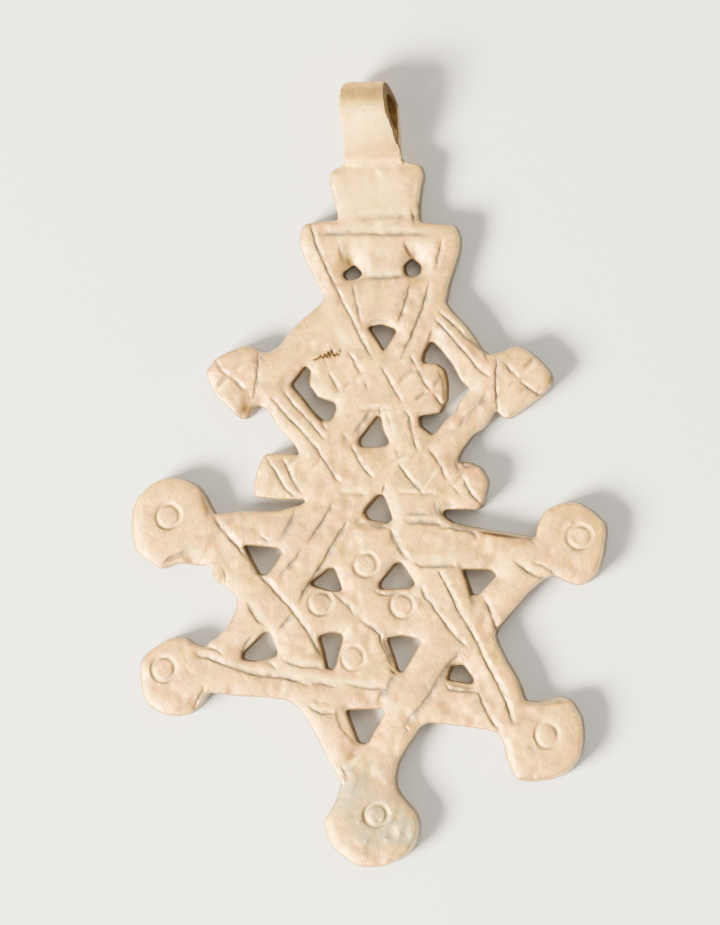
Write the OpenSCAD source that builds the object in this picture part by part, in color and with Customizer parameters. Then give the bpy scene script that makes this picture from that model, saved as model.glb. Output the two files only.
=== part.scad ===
// Coptic cross pendant, cast in one piece: a pierced, engraved plate with a strap bail on top.
// It lies face up on its flat back: +X to the right, +Y to the bail, +Z out of the face.

/* [Overall size] */
// Width across the star's lobes
width = 45.8; // [40:0.1:52]
// Height from the bottom lobe to the top of the bail
height = 75.2; // [68:0.1:84]
// Thickness of the plate
thickness = 3; // [2:0.1:4]

/* [Bail] */
// Depth of the bail's loop, from its back to its front
bail_depth = 6.2; // [5:0.1:6.8]
// Radius of the bail's round eye
eye_radius = 1.8; // [1.2:0.1:1.9]
// Lean of the strap's edges to the left, towards the front
bail_lean = 3.5; // [0:0.5:8]

/* [Engraving] */
// Depth of a plain engraved line
line_depth = 0.3; // [0.1:0.05:0.5]
// Width of a plain engraved line
line_width = 0.42; // [0.2:0.02:0.6]
// Radius of a ring stamp, at the middle of its groove
ring_radius = 1.17; // [0.8:0.01:1.5]
// Depth of the shallow ledges beside some gaps
ledge_depth = 0.9; // [0.3:0.1:1.5]

/* [Hidden] */

// The outlines below are drawn at this size, in millimetres, and fitted to the width and height.
drawn_width = 46.05;
drawn_height = 75.2;
drawn_middle_x = -0.2;
// One step of a rounded corner, in degrees
corner_step = 18;
// How far a cutting shape stands clear of the face that it cuts
clear = 0.2;
$fn = 64;

bail_radius = bail_depth / 2;
// Place of the eye's centre: the top of the loop is the top of the pendant
eye_y = height / 2 - bail_radius;
// Where the bail rises out of the crown, as drawn and as fitted
drawn_foot_y = 29.4;
foot_y = drawn_foot_y * height / drawn_height;
// Half of a length along X that reaches well past the bail on both sides
half_span = 6;

// A drawn point, fitted to the pendant's size
function fitted(p) = [
    (p.x - drawn_middle_x) * width / drawn_width,
    p.y * height / drawn_height
];

// Direction of a vector, in degrees
function angle_of(v) = atan2(v.y, v.x);

// The points of one corner, where an outline turns from coming out of a to going on to b.
// The arc's length along each side is kept under half of that side.
function corner(a, p, b, radius) =
    let (
        to_a = a - p,
        to_b = b - p,
        half_angle = acos(to_a * to_b / norm(to_a) / norm(to_b)) / 2,
        reach = min(radius / tan(half_angle), 0.48 * norm(to_a), 0.48 * norm(to_b)),
        r = reach * tan(half_angle),
        start = p + to_a * reach / norm(to_a),
        end = p + to_b * reach / norm(to_b),
        middle = to_a / norm(to_a) + to_b / norm(to_b),
        centre = p + middle / norm(middle) * reach / cos(half_angle),
        first = angle_of(start - centre),
        turn = ((angle_of(end - centre) - first + 540) % 360) - 180,
        steps = max(1, ceil(abs(turn) / corner_step))
    )
    [for (i = [0 : steps]) centre + r * [cos(first + turn * i / steps), sin(first + turn * i / steps)]];

// A closed outline from rows of [x, y, corner radius], with its corners rounded
function rounded(rows) = [
    for (i = [0 : len(rows) - 1])
        let (
            n = len(rows),
            a = fitted(rows[(i + n - 1) % n]),
            p = fitted(rows[i]),
            b = fitted(rows[(i + 1) % n]),
            radius = rows[i][2]
        )
        each (radius > 0 ? corner(a, p, b, radius) : [p])
];

module outline(rows) polygon(rounded(rows));

// Solid parts of the plate. Each row is [x, y, corner radius], and neighbours overlap inside.

// Flared block under the bail
crown_rows = [
    [-3.1, 23, 0], [-3.15, 25, 0.6], [-3.55, 26.3, 1], [-4.06, 27.9, 1], [-3.9, 29.05, 0.5],
    [-2.25, 29.8, 0.4], [-2.1, 30.6, 0], [2.8, 30.6, 0], [2.9, 30.1, 0.3], [4.75, 29.6, 0.45],
    [5.15, 28.6, 0.6], [4.9, 27.2, 1], [4.65, 25.7, 1], [4.7, 24.5, 0.5], [5.1, 23, 0]
];
// Trapezoid under the crown, with the two small eyes
shoulder_rows = [
    [-3, 24.4, 0], [-6.6, 24, 0.7], [-6.95, 22.4, 1.2], [-6.4, 20.7, 1.5], [-5.2, 18.4, 1.5],
    [-4.6, 17.2, 0.4], [-4.2, 15, 0], [6.5, 14, 0], [7.35, 16.8, 0.5], [7.55, 17.9, 1.5],
    [8.1, 19.6, 1.5], [8.6, 21.4, 1.5], [8.7, 22.6, 0.9], [8.2, 23.8, 0.7], [5, 24.2, 0]
];
// Lozenge frame of four bars
lozenge_rows = [
    [-4, 17.6, 0], [-4.85, 16.4, 0.7], [-6.5, 15, 1.5], [-7.6, 13.9, 1.5], [-8.9, 12.2, 1.5],
    [-10, 11.6, 1], [-11.4, 12, 0], [-11.4, 7, 0], [-10.95, 6.68, 0.2], [-9.9, 6.05, 1],
    [-8.9, 4.4, 1.5], [-7.35, 2.9, 0.8], [-6.95, 2.2, 0.3], [-6.9, 1, 0], [8.3, 0.5, 0],
    [8.5, 1.55, 0.4], [8.95, 2.5, 1.5], [9.9, 3.75, 1.2], [11.15, 4.45, 1.2], [11.9, 5.75, 0.5],
    [12.4, 6.3, 0], [12.4, 11.5, 0], [11.6, 11.4, 0.5], [10.75, 11.95, 0.8], [10, 13.1, 1.5],
    [8.95, 14.4, 2], [7.95, 15.5, 1.5], [7.3, 16.35, 0.4], [7, 17.6, 0]
];
left_knob_rows = [
    [-10.4, 11.65, 0], [-11.2, 12.05, 0.6], [-12.1, 12.42, 0.8], [-13.6, 11.9, 1.5], [-15.1, 11.15, 0.6],
    [-15.97, 9.9, 0.7], [-15.75, 8.9, 1.5], [-15.1, 7.6, 2], [-13.2, 5.8, 1.5], [-12.4, 5.25, 0.5],
    [-11.9, 5.4, 0.4], [-11.35, 6.55, 0.4], [-10.5, 6.8, 0]
];
right_knob_rows = [
    [11.2, 11.4, 0], [12.5, 11.7, 0.8], [14.1, 12.32, 0.8], [15.35, 11.75, 1.5], [16.35, 10.95, 1.2],
    [17.42, 9.7, 0.8], [17.62, 8.7, 0.7], [16.7, 7.5, 0.9], [14.7, 6.1, 1.5], [13.45, 5.25, 0.5],
    [12.85, 5.4, 0.5], [12.2, 6.1, 0.2], [11.2, 6.4, 0]
];
// Hatched lower band, with a knob at each end
lower_band_rows = [
    [-6, 1.85, 0], [-10.3, 2.02, 0.5], [-11.1, 0.2, 1.5], [-11.35, -1, 1], [-11.2, -2.15, 0.35],
    [-8.5, -2.5, 2], [-6.4, -2.38, 0], [-5.5, -4, 0], [6.5, -4.5, 0], [7.3, -3.3, 0.2],
    [10.3, -3.42, 0.6], [10.95, -2.9, 0.3], [11.4, -0.6, 0.9], [10.6, 0.75, 1.2], [9.6, 1.17, 0.8],
    [8, 1.15, 0]
];
// The interlaced star without its lobes, clockwise from the upper left arm's top edge
star_rows = [
    [-5.8, -2.2, 0], [-6.7, -2.93, 0.25], [-8.8, -3.48, 1.5], [-13, -3.5, 0], [-15, -3.8, 0],
    [-18, -6, 0], [-16, -8.72, 0.5], [-15.4, -8.95, 0.4], [-15.3, -9.95, 0.4], [-14.7, -10.45, 0.5],
    [-13.9, -10.85, 0.6], [-13, -11.75, 0.6], [-13.05, -12.8, 1], [-13.8, -14.4, 1.5], [-15, -15.75, 0.8],
    [-15.55, -16, 0.3], [-15.95, -16.5, 0], [-17.5, -17.5, 0], [-17, -20.5, 0], [-15.6, -20.95, 0.5],
    [-13.5, -21.2, 2], [-9.5, -21.45, 2], [-8, -21.65, 1.5], [-6.8, -22.5, 1.5], [-6, -23.8, 2],
    [-3.3, -28.7, 2], [-2.9, -29.5, 0], [-2, -31.5, 0], [2, -31.5, 0], [2.4, -29, 1.5],
    [2.65, -27.5, 1.5], [3.7, -25.8, 2], [4.85, -24.1, 0.8], [5.6, -23.75, 0.8], [8, -24, 2],
    [11.5, -24.4, 1.5], [12.5, -24.8, 0.8], [12.95, -26, 0], [15, -26, 0], [15.4, -22.3, 0],
    [14.9, -21.5, 0.5], [14.55, -20.4, 1.5], [14.1, -19.4, 2], [13.2, -17.8, 2], [12.3, -16.1, 1.5],
    [12.1, -15.35, 0.3], [12.35, -14.75, 0.3], [14, -12.75, 2], [15.4, -11.2, 2], [16.8, -10, 0.6],
    [17.5, -9.7, 0], [18.5, -8, 0], [17, -6, 0], [15.9, -6.05, 0.2], [12.5, -5.45, 2],
    [9, -4.87, 1.5], [7.9, -4.6, 0.7], [7.2, -4.1, 0.3], [6.8, -3.4, 0], [5, -2, 0]
];
upper_left_lobe_rows = [
    [-14.8, -4.4, 0], [-15.35, -3.55, 0.5], [-16.05, -2.1, 1.5], [-16.85, -1.1, 1], [-18.2, -0.45, 2.5],
    [-19.7, -0.25, 2], [-21.2, -0.8, 2], [-22.7, -2.2, 2], [-23.25, -3.8, 2.5], [-23.25, -6, 2.5],
    [-22.7, -7.6, 1.5], [-21.2, -8.65, 2], [-20.2, -9.1, 0.8], [-18.7, -8.45, 1.5], [-16.6, -8.8, 1.5],
    [-15.8, -8.6, 0]
];
lower_left_lobe_rows = [
    [-15.8, -16.6, 0], [-16.2, -16.6, 0.3], [-17.3, -16.25, 0.6], [-18, -15.6, 0.9], [-19.6, -15.65, 2],
    [-21.4, -16.85, 2], [-22.4, -17.8, 1.2], [-22.45, -19.3, 2], [-22.15, -21.2, 2], [-21.5, -22.35, 1.2],
    [-20, -23.05, 2], [-18.6, -23.3, 2], [-17.3, -22.9, 1.5], [-16.4, -21.9, 1], [-15.7, -20.95, 0.6],
    [-15, -20.5, 0], [-15, -17.5, 0]
];
bottom_lobe_rows = [
    [-2.6, -28, 0], [-2.9, -29.6, 0.5], [-3.2, -30.8, 1.5], [-3.8, -32.1, 1], [-4.52, -33.1, 0.7],
    [-4.35, -34.7, 2], [-3.4, -36.1, 2], [-2, -37.05, 2.5], [-0.8, -37.62, 1.5], [1, -37.62, 2.5],
    [2.6, -37, 2.5], [3.8, -36.2, 1.5], [4.5, -35, 2], [4.75, -33.7, 1.5], [4.4, -32.5, 1.2],
    [3.3, -31.2, 1.5], [2.55, -30.1, 1.5], [2.35, -28.5, 0]
];
lower_right_lobe_rows = [
    [12.3, -24.6, 0], [12.85, -25.6, 1], [13.1, -27, 1.5], [13.7, -28.45, 1.5], [14.2, -29.15, 0.5],
    [15.7, -29.42, 2], [17.6, -29.2, 2.5], [19.3, -28.4, 2], [20.3, -27, 2], [20.62, -25, 2.5],
    [20.4, -23.2, 2], [19.5, -21.6, 1.2], [18.2, -21.2, 1.5], [16.2, -21.7, 0.9], [14.9, -21.6, 0.3],
    [14.2, -20.5, 0], [13, -21.5, 0]
];
upper_right_lobe_rows = [
    [15.5, -6.4, 0], [16, -5.95, 0.2], [16.2, -4.8, 1.2], [16.9, -3.4, 1.2], [18.3, -2.75, 2],
    [19.8, -2.55, 1.5], [21.2, -3.35, 2], [22.65, -4.65, 0.7], [22.85, -5.6, 0.8], [22.5, -7.6, 2.5],
    [22, -9.3, 1.2], [21.2, -10.2, 1.2], [20.1, -10.68, 1], [18.9, -10.25, 1.2], [17.75, -9.6, 0.4],
    [16.8, -9.6, 0], [16, -8, 0]
];

// Gaps cut right through the plate. Each row is [x, y, corner radius].
left_eye_rows = [
    [-2.75, 19.3, 0.3], [-1.6, 20.1, 0.3], [-0.72, 19.25, 0.2], [-1.2, 18.72, 0.3], [-2.5, 18.65, 0.4]
];
right_eye_rows = [
    [3.2, 19.9, 0.5], [4, 20.8, 0.4], [4.87, 20, 0.5], [4.8, 19.1, 0.4], [4.1, 18.85, 0.4],
    [3.3, 19.05, 0.4]
];
top_gap_rows = [
    [-0.3, 14.12, 0.15], [1.1, 14.37, 0.6], [2.62, 13.82, 0.25], [1.3, 11.65, 0.25]
];
left_gap_rows = [
    [-6.35, 10.45, 0.15], [-5.78, 9.95, 0.2], [-5.92, 8.5, 0.5], [-5.1, 7.4, 0.4], [-3.35, 6.85, 0.4],
    [-3.3, 6.2, 0.4], [-3.8, 5.1, 0.4], [-4.7, 5.1, 0.5], [-5.75, 6.1, 2], [-7.75, 8.6, 0.35]
];
right_gap_rows = [
    [5.95, 12.9, 0.35], [6.75, 12.05, 1], [8, 10.45, 1.5], [8.85, 8.9, 0.8], [9.7, 8.15, 0.15],
    [8.65, 7.1, 0.8], [8.2, 5.95, 0.8], [7.1, 4.95, 0.6], [6.05, 3.65, 0.45], [4.8, 4.6, 0.4],
    [4.75, 5.65, 0.35], [6.8, 5.95, 0.6], [7.35, 7, 1], [7.42, 8.6, 1.2], [7.15, 10, 0.9],
    [6.3, 10.6, 0.6], [4.95, 10.7, 0.3], [5.15, 11.6, 1]
];
middle_gap_rows = [
    [0.6, 5.65, 0.1], [1.05, 5.5, 0.1], [1.3, 4.2, 0.8], [1.85, 3.1, 0.35], [1.55, 2.75, 0.3],
    [0.3, 2.6, 1], [-1.15, 2.65, 0.35], [-1.1, 3.35, 0.4]
];
lower_gap_rows = [
    [0.8, -1.9, 0.1], [1.28, -2, 0.1], [2.2, -4.3, 0.35], [1.8, -4.68, 0.3], [-0.35, -4.25, 0.35],
    [-0.7, -3.6, 0.3]
];
// Gaps of the star, by their place in it
star_gap_rows = [
    // upper left
    [[-12.45, -6.75, 0.15], [-10.4, -6.9, 1], [-8.35, -7.2, 0.4], [-10, -9.65, 0.4], [-10.85, -9.6, 0.2]],
    // lower left
    [[-10.35, -15.1, 0.2], [-9.85, -15.2, 0.25], [-9, -16.9, 0.6], [-9.1, -17.42, 0.2], [-11.2, -17.9, 1],
     [-12.6, -17.75, 0.3], [-12.4, -17.1, 0.4]],
    // middle left
    [[-4.05, -8.95, 0.15], [-3.45, -8.95, 0.15], [-2.72, -11.15, 0.2], [-4.2, -11.15, 1.5],
     [-6, -10.55, 0.2]],
    // middle right
    [[2.55, -8.4, 0.15], [3.05, -8.5, 0.15], [4.45, -10.5, 0.4], [3.9, -10.93, 0.3],
     [0.8, -10.95, 0.35], [0.85, -10.3, 0.3]],
    // inner lower left
    [[-5.1, -15.45, 0.4], [-3.8, -15.12, 0.8], [-2.55, -15.3, 0.4], [-3.5, -18.72, 0.15],
     [-4.3, -18.6, 0.15]],
    // inner lower right
    [[1.5, -15.55, 0.35], [3, -15.4, 1], [5.02, -15.9, 0.3], [3.2, -19, 0.15], [2.6, -18.8, 0.1]],
    // upper right
    [[8.95, -9.05, 0.2], [11.6, -9.1, 0.8], [12.38, -9.6, 0.35], [10.45, -11.5, 0.3], [9.75, -11.5, 0.2]],
    // lower right
    [[7.95, -18.25, 0.3], [9, -18.15, 0.4], [10.05, -19.55, 0.25], [9.95, -20.07, 0.15],
     [9.1, -20, 0.8], [7.35, -19.65, 0.15]],
    // bottom
    [[-2.45, -22.55, 0.25], [1.1, -22.38, 0.35], [1.38, -22.8, 0.2], [-0.25, -25.75, 0.4],
     [-1.25, -25.7, 0.3]]
];
// Ledges that step down beside a gap. Each row is [x, y, corner radius].
ledge_rows = [
    // over the left eye
    [[-3, 19.4, 0.2], [-2.75, 20.9, 0.3], [-1.7, 21.2, 0.3], [-1, 20, 0.2], [-2, 18.5, 0.2]],
    // over the right eye
    [[3.45, 22.2, 0.1], [4.4, 21.6, 0.2], [5.1, 20.2, 0.2], [4.5, 18.9, 0.2], [3.3, 19.4, 0.2],
     [3.5, 20.8, 0.3]],
    // inner lower right gap's left side
    [[0.95, -15.25, 0.15], [2.4, -15.5, 0.1], [3.1, -18.6, 0.1], [2.5, -19, 0.1], [1.6, -17.1, 1]],
    // bottom gap's left side
    [[-3.2, -22.75, 0.15], [-1.6, -22.7, 0.1], [-0.8, -25.7, 0.2], [-1.3, -25.95, 0.1], [-2.8, -24.3, 1]]
];

// Engraved lines. Each row is [width, depth, points], as shares of the plain width and depth.
line_rows = [
    // crown and shoulder
    [1.1, 0.5, [[-1, 24.7], [3.7, 24.9]]],
    [0.9, 1.2, [[4.15, 25.1], [4.35, 24]]],
    [1.1, 0.7, [[-4.9, 23.15], [5.5, 23.1]]],
    [0.9, 0.9, [[-5.7, 23.9], [-3.4, 18.2], [0.3, 10.9]]],
    [0.9, 0.9, [[-1.65, 18.3], [-0.75, 14.5]]],
    [1.1, 1, [[4.05, 18.4], [2.8, 14.6]]],
    [1, 0.9, [[5.75, 18.3], [4.7, 14.7], [3.05, 11.2]]],
    [0.9, 0.9, [[6.8, 22.3], [6.3, 19.8]]],
    [1.4, 0.7, [[0, 18.95], [3.6, 19]]],
    [1, 0.9, [[6, 14.3], [5.5, 12.6]]],
    // upper right arm and right knob
    [0.9, 0.9, [[6.6, 15.8], [8.2, 14.1], [11.5, 10.9]]],
    [0.9, 0.9, [[6.3, 14.9], [8.6, 12.4], [10.7, 9.9], [11.5, 9.35]]],
    [1, 0.9, [[12.45, 11.2], [12.2, 8.8], [12.35, 6]]],
    [0.9, 0.9, [[13, 10.75], [14.6, 9], [16.7, 7.4]]],
    [0.8, 0.5, [[16, 11], [14.9, 10], [13.5, 8.6]]],
    // left knob
    [0.9, 0.9, [[-14.9, 11], [-12.1, 8.1]]],
    [0.8, 0.5, [[-15, 8.5], [-14, 9.4], [-11.8, 11]]],
    [1, 0.9, [[-10.75, 11.4], [-10.9, 9.5], [-11.3, 7]]],
    // upper band
    [1, 0.9, [[-4.1, 9.9], [-2.9, 7.7]]],
    [1, 0.9, [[-1.95, 11.6], [-0.15, 8.1]]],
    [1, 0.9, [[1.2, 10.2], [3.05, 6.95]]],
    [1.1, 1, [[4, 11.35], [5.8, 8.3]]],
    [1, 0.9, [[6.3, 7.5], [7.15, 6.45]]],
    [0.9, 0.8, [[3.75, 6.2], [4.5, 2.6]]],
    [0.9, 0.9, [[4.65, 5.9], [4.72, 5], [6, 3.75]]],
    // lower left arm
    [0.9, 0.9, [[-9.5, 7.2], [-7.4, 5], [-5.2, 2.9], [-3, -0.7]]],
    [0.9, 0.9, [[-8.5, 8.3], [-6.7, 6.1], [-4.4, 3.3]]],
    [0.8, 0.7, [[-5, 5.5], [-4.1, 4.2]]],
    // lower band
    [0.9, 0.9, [[-10, 1.7], [-8.6, -0.6], [-7.4, -1.9]]],
    [1, 0.9, [[-8.5, 1.6], [-7.8, 0.1], [-6.6, -1.6]]],
    [0.9, 0.9, [[-1.8, 2.7], [-0.7, 0.9], [0.3, -0.25]]],
    [1, 0.9, [[2.85, 1], [5.1, -1.9]]],
    [0.9, 0.9, [[5.7, 2.4], [7.5, -0.45]]],
    [0.8, 0.8, [[8.3, 1.3], [8.6, 0.2]]],
    [1.1, 1, [[8.85, -0.2], [9.5, -1.5], [10.9, -2.8]]],
    [1.1, 0.6, [[-3.2, -1.5], [-0.2, -1.5]]],
    // star, upper left arm
    [1.1, 0.9, [[-7.1, -3.5], [-8.6, -6.2]]],
    [0.9, 0.9, [[-3.6, -3], [-5.9, -6.6], [-8.8, -9.9]]],
    [1.1, 1, [[-2.2, -4.6], [-4.6, -8.5], [-6.9, -12.4]]],
    [1, 1, [[-15, -4.15], [-12.1, -8], [-7.4, -13.3], [-4.7, -17.4]]],
    [1, 0.9, [[-11.9, -12.4], [-10.3, -14.5]]],
    [1, 0.9, [[-3.5, -11.4], [-2.4, -12.2], [-1.6, -13.3]]],
    [1, 1, [[-0.8, -14], [0.8, -15.1]]],
    // star, upper right arm
    [0.9, 0.8, [[0.2, -4.8], [2, -5.1]]],
    [1.2, 1.1, [[2, -5.1], [2.6, -6.7], [3.6, -7.9]]],
    [1, 0.9, [[3.3, -4.3], [4.2, -4.7], [6.4, -4.85], [9.9, -5.4]]],
    [0.9, 0.9, [[6.35, -2.9], [6.6, -3.7], [7.3, -4.4]]],
    [1, 0.9, [[4.3, -8.4], [5.1, -8.75], [8.2, -8.75]]],
    [0.9, 0.9, [[0.5, -11.1], [1, -11.45], [3.5, -11.4]]],
    [0.9, 0.9, [[13.8, -8.2], [15.2, -9.3], [17, -10]]],
    // star, long bar to the lower right lobe
    [1, 1, [[5, -10.4], [5.5, -11.9], [9.3, -16.5]]],
    [1.1, 1.1, [[6.8, -9.4], [9, -13.4], [12.3, -19.6], [14, -23.8]]],
    [0.9, 0.9, [[8.6, -8.7], [10.1, -12.1]]],
    [1.1, 1, [[11, -11.8], [12.4, -15.3]]],
    [1.2, 1, [[10.5, -20.8], [12.5, -24.3]]],
    [0.9, 0.8, [[7.4, -20.2], [10.4, -20.8]]],
    // star, bar from the lower left lobe
    [1, 1, [[-17, -17.1], [-12, -18.8], [-8.5, -19.4], [-3.3, -20.15]]],
    [0.9, 0.9, [[-15.9, -16.6], [-14.3, -17.2]]],
    [0.9, 0.8, [[-8.5, -17.9], [-7, -18.4], [-4.4, -18.8]]],
    [0.8, 0.8, [[-2.1, -20.1], [0, -20.5], [1.5, -20.4]]],
    [0.9, 0.7, [[-5.8, -22.2], [-5.2, -22.7], [-3.5, -22.8]]],
    // star, bar from the upper right lobe to the bottom lobe
    [1.1, 0.9, [[2.6, -19.1], [0.7, -21.9]]],
    [1.2, 0.9, [[9.2, -16.6], [6.5, -20.5], [3.4, -24]]],
    [0.9, 1, [[-2.4, -27.9], [-2.2, -28.7]]],
    // upper left lobe
    [0.9, 0.9, [[-20, -8.5], [-17.7, -7.2]]]
];

// Centres of the ring stamps
ring_places = [
    [-19.66, -4.15], [-20.15, -18.8], [0.53, -32.6], [16.94, -24.8], [20.24, -6.05],
    [-4.8, -12.4], [-0.45, -8.55], [2.96, -12.6], [-1.6, -17.45]
];

// A place between the bail's foot and the eye's centre, along Y
function up(share) = foot_y + share * (eye_y - foot_y);

// A level between the plate's face and the front of the loop
function level(share) = thickness + share * (bail_depth - thickness);

// Side view of the bail, in Y and Z: a loop that narrows down to the crown's thickness
module bail_side() {
    translate([eye_y, bail_radius]) circle(r = bail_radius);
    polygon([
        [foot_y, 0], [eye_y, 0], [eye_y, bail_radius], [up(0.71), level(0.83)],
        [up(0.52), level(0.54)], [up(0.34), level(0.19)], [up(0.15), level(0.04)], [foot_y, thickness]
    ]);
}

// The gap between the two legs of the strap: it narrows from the eye down to a blunt end
module leg_gap() {
    end_y = up(0.36);
    polygon([
        [eye_y, bail_radius],
        [eye_y - 0.97 * eye_radius, bail_radius + 0.24 * eye_radius],
        [end_y, 0.68 * thickness],
        [end_y, 0.52 * thickness],
        [eye_y - 0.69 * eye_radius, bail_radius - 0.72 * eye_radius]
    ]);
}

// Front view of the bail's strap, as rows of [x, y, corner radius]
strap_rows = [
    [-2.25, drawn_foot_y, 0], [-2.1, 31.5, 1.5], [-2.15, 33.2, 1.5], [-2.5, 37.8, 1.6], [1.65, 37.9, 0.7],
    [2.45, 35.4, 2], [2.7, 32.8, 2], [2.85, drawn_foot_y, 0]
];

// Sets a shape drawn in Y and Z across the bail, along X
module across_bail() {
    rotate([90, 0, 90]) translate([0, 0, -half_span]) linear_extrude(2 * half_span) children();
}

module bail() {
    difference() {
        intersection() {
            across_bail() bail_side();
            rotate([0, -bail_lean, 0])
                translate([0, 0, -1]) linear_extrude(bail_depth + 2) outline(strap_rows);
        }
        translate([-half_span, eye_y, bail_radius])
            rotate([0, 90, 0]) cylinder(r = eye_radius, h = 2 * half_span);
        across_bail() leg_gap();
    }
}

// The pierced plate, without its engraving
module plate() {
    linear_extrude(thickness) difference() {
        union() {
            outline(crown_rows);
            outline(shoulder_rows);
            outline(lozenge_rows);
            outline(left_knob_rows);
            outline(right_knob_rows);
            outline(lower_band_rows);
            outline(star_rows);
            outline(upper_left_lobe_rows);
            outline(lower_left_lobe_rows);
            outline(bottom_lobe_rows);
            outline(lower_right_lobe_rows);
            outline(upper_right_lobe_rows);
        }
        outline(left_eye_rows);
        outline(right_eye_rows);
        outline(top_gap_rows);
        outline(left_gap_rows);
        outline(right_gap_rows);
        outline(middle_gap_rows);
        outline(lower_gap_rows);
        for (rows = star_gap_rows) outline(rows);
    }
}

// One straight V-shaped cut in the face, from a to b and a little past both
module v_cut(a, b, w, d) {
    run = b - a;
    run_out = w / 4;
    spread = w / 2 * (1 + clear / d);
    translate([a.x, a.y, thickness])
        rotate([90, 0, angle_of(run) + 90])
            translate([0, 0, -run_out])
                linear_extrude(norm(run) + 2 * run_out)
                    polygon([[-spread, clear], [0, -d], [spread, clear]]);
}

// All engraved lines
module lines() {
    for (row = line_rows, i = [0 : len(row[2]) - 2])
        v_cut(fitted(row[2][i]), fitted(row[2][i + 1]), row[0] * line_width, row[1] * line_depth);
}

// A round groove, struck with a ring punch
module ring_stamp(place) {
    spread = line_width / 2 * (1 + clear / line_depth);
    translate([place.x, place.y, thickness])
        rotate_extrude()
            translate([ring_radius, 0])
                polygon([[-spread, clear], [0, -line_depth], [spread, clear]]);
}

// Low steps beside some gaps
module ledges() {
    for (rows = ledge_rows)
        translate([0, 0, thickness - ledge_depth]) linear_extrude(ledge_depth + clear) outline(rows);
}

module cross() {
    color("wheat") difference() {
        union() {
            plate();
            bail();
        }
        ledges();
        lines();
        for (place = ring_places) ring_stamp(fitted(place));
    }
}

cross();
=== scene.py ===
"""Looks of a coptic cross pendant.

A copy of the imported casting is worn, carved and given its silver, and set on a plain stage."""

import math

import bmesh
import bpy
import numpy as np
from bpy.props import FloatProperty, FloatVectorProperty, IntProperty, PointerProperty
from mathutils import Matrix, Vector, kdtree


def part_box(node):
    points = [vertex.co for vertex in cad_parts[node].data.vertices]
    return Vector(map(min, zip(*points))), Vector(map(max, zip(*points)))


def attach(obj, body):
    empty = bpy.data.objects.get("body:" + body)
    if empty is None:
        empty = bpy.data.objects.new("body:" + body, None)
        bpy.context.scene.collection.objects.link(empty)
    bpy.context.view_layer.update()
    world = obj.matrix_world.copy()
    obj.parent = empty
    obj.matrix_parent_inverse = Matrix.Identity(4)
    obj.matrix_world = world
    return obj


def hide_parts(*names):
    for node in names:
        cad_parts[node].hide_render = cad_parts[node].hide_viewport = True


bl_info = {
    "name": "Coptic cross pendant",
    "version": (1, 0, 0),
    "blender": (4, 5, 0),
    "location": "3D View > Sidebar > Cross",
    "description": "Dresses the packed casting of a coptic cross as worn, hand-cut silver",
    "category": "Object",
}

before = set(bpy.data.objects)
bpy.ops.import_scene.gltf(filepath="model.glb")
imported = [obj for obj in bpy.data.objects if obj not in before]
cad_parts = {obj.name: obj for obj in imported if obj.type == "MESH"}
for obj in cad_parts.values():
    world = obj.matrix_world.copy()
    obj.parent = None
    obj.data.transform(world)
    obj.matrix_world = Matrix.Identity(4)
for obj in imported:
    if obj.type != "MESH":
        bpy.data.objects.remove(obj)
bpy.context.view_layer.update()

MM = 0.001
PIECE = "coptic_cross"
# The tables are in the millimetres of a flat front drawing of this width, height and middle
DRAWN_WIDTH = 46.08
DRAWN_HEIGHT = 75.2
DRAWN_MIDDLE_X = -0.2
# Levels of the casting in millimetres: its face, half its thickness, the deepest ledge, and where the carving
# dies out in the walls
FACE_Z = 3.0
MIDDLE_Z = 1.5
LEDGE_Z = 2.05
ROOT_Z = 1.1
# Height of the crown's top, over how far the plate's wear dies out there, and how far above it the strap
# starts to rise
FOOT_Y = 29.4
FOOT_FADE = 0.9
RISE = 0.3
# Walls above this height belong to the bail
PLATE_END_Y = 31.0
# Middle of the bail's eye, which runs from side to side, and how far from it the strap is painted dark as
# shade
EYE_Y = 34.5
EYE_Z = 3.1
EYE_SHADE = 2.15
# Heights on the strap: where its neck ends, where its front turns over to the back, and its top
NECK_END_Y = 33.2
BEND_Y = 36.2
TOP_Y = 37.3
# Middle of the strap, and its width from there to an edge
STRAP_X = 0.2
STRAP_HALF = 1.9
# Way in the plane, in degrees, in which the graver leaned: the long slope of each cut lies on that side. The
# key light comes from the opposite way, and the painted shade and light on the edges and cuts follow it
LIT_WAY = 32.0
# Wear made each cut this many times wider, and the graver lifts over this length at a cut's ends
WORN_WIDER = 1.25
LIFT = 0.7
# A cut this deep holds all of its tarnish, a ledge this deep gets all of the painted shadow at its step's
# foot, and this share of a cut's tarnish lies all over it
DARK_CUT = 0.13
DARK_LEDGE = 0.2
THIN_TARNISH = 0.28
# The ring punch: the way it leaned in degrees, which is also near the way the light comes from and places the
# painted shade on its walls, and its groove's half width
PUNCH_AND_LIGHT_WAY = 222
PUNCH_HALF = 0.26
# Where painted shade lies on a ring's walls: how far from the groove's middle, and its half width
PUNCH_SHADE = 0.22
PUNCH_SHADE_HALF = 0.12
# Share of a ledge's depth that is its step, and the step's width
LEDGE_STEP = 0.7
STEP_WIDTH = 0.22
# The crack's depth, its half width, and how much wider it gapes at its middle
CRACK_DEPTH = 0.17
CRACK_HALF = 0.1
CRACK_GAPE = 0.12
# Depth of a scrape's gutter, and height of its burr
GUTTER_DEPTH = 0.16
BURR_HEIGHT = 0.05
# How far the plate's walls wander
WALL_WAVER = 0.025
# How far a lump can stand over the face, and how far all the work together can lower it
HIGHEST = 0.12
LOWEST = 1.1

# The front of the strap as hammered. Each row is (y, z).
RAMP = [
    (29.7, 3.0), (30.2, 3.15), (30.7, 3.6), (31.2, 4.15), (32, 4.85), (33, 5.47), (34, 5.93), (34.6, 6.09),
    (35.1, 6.14), (35.6, 6.08), (36.1, 5.9), (36.6, 5.55),
]
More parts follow.
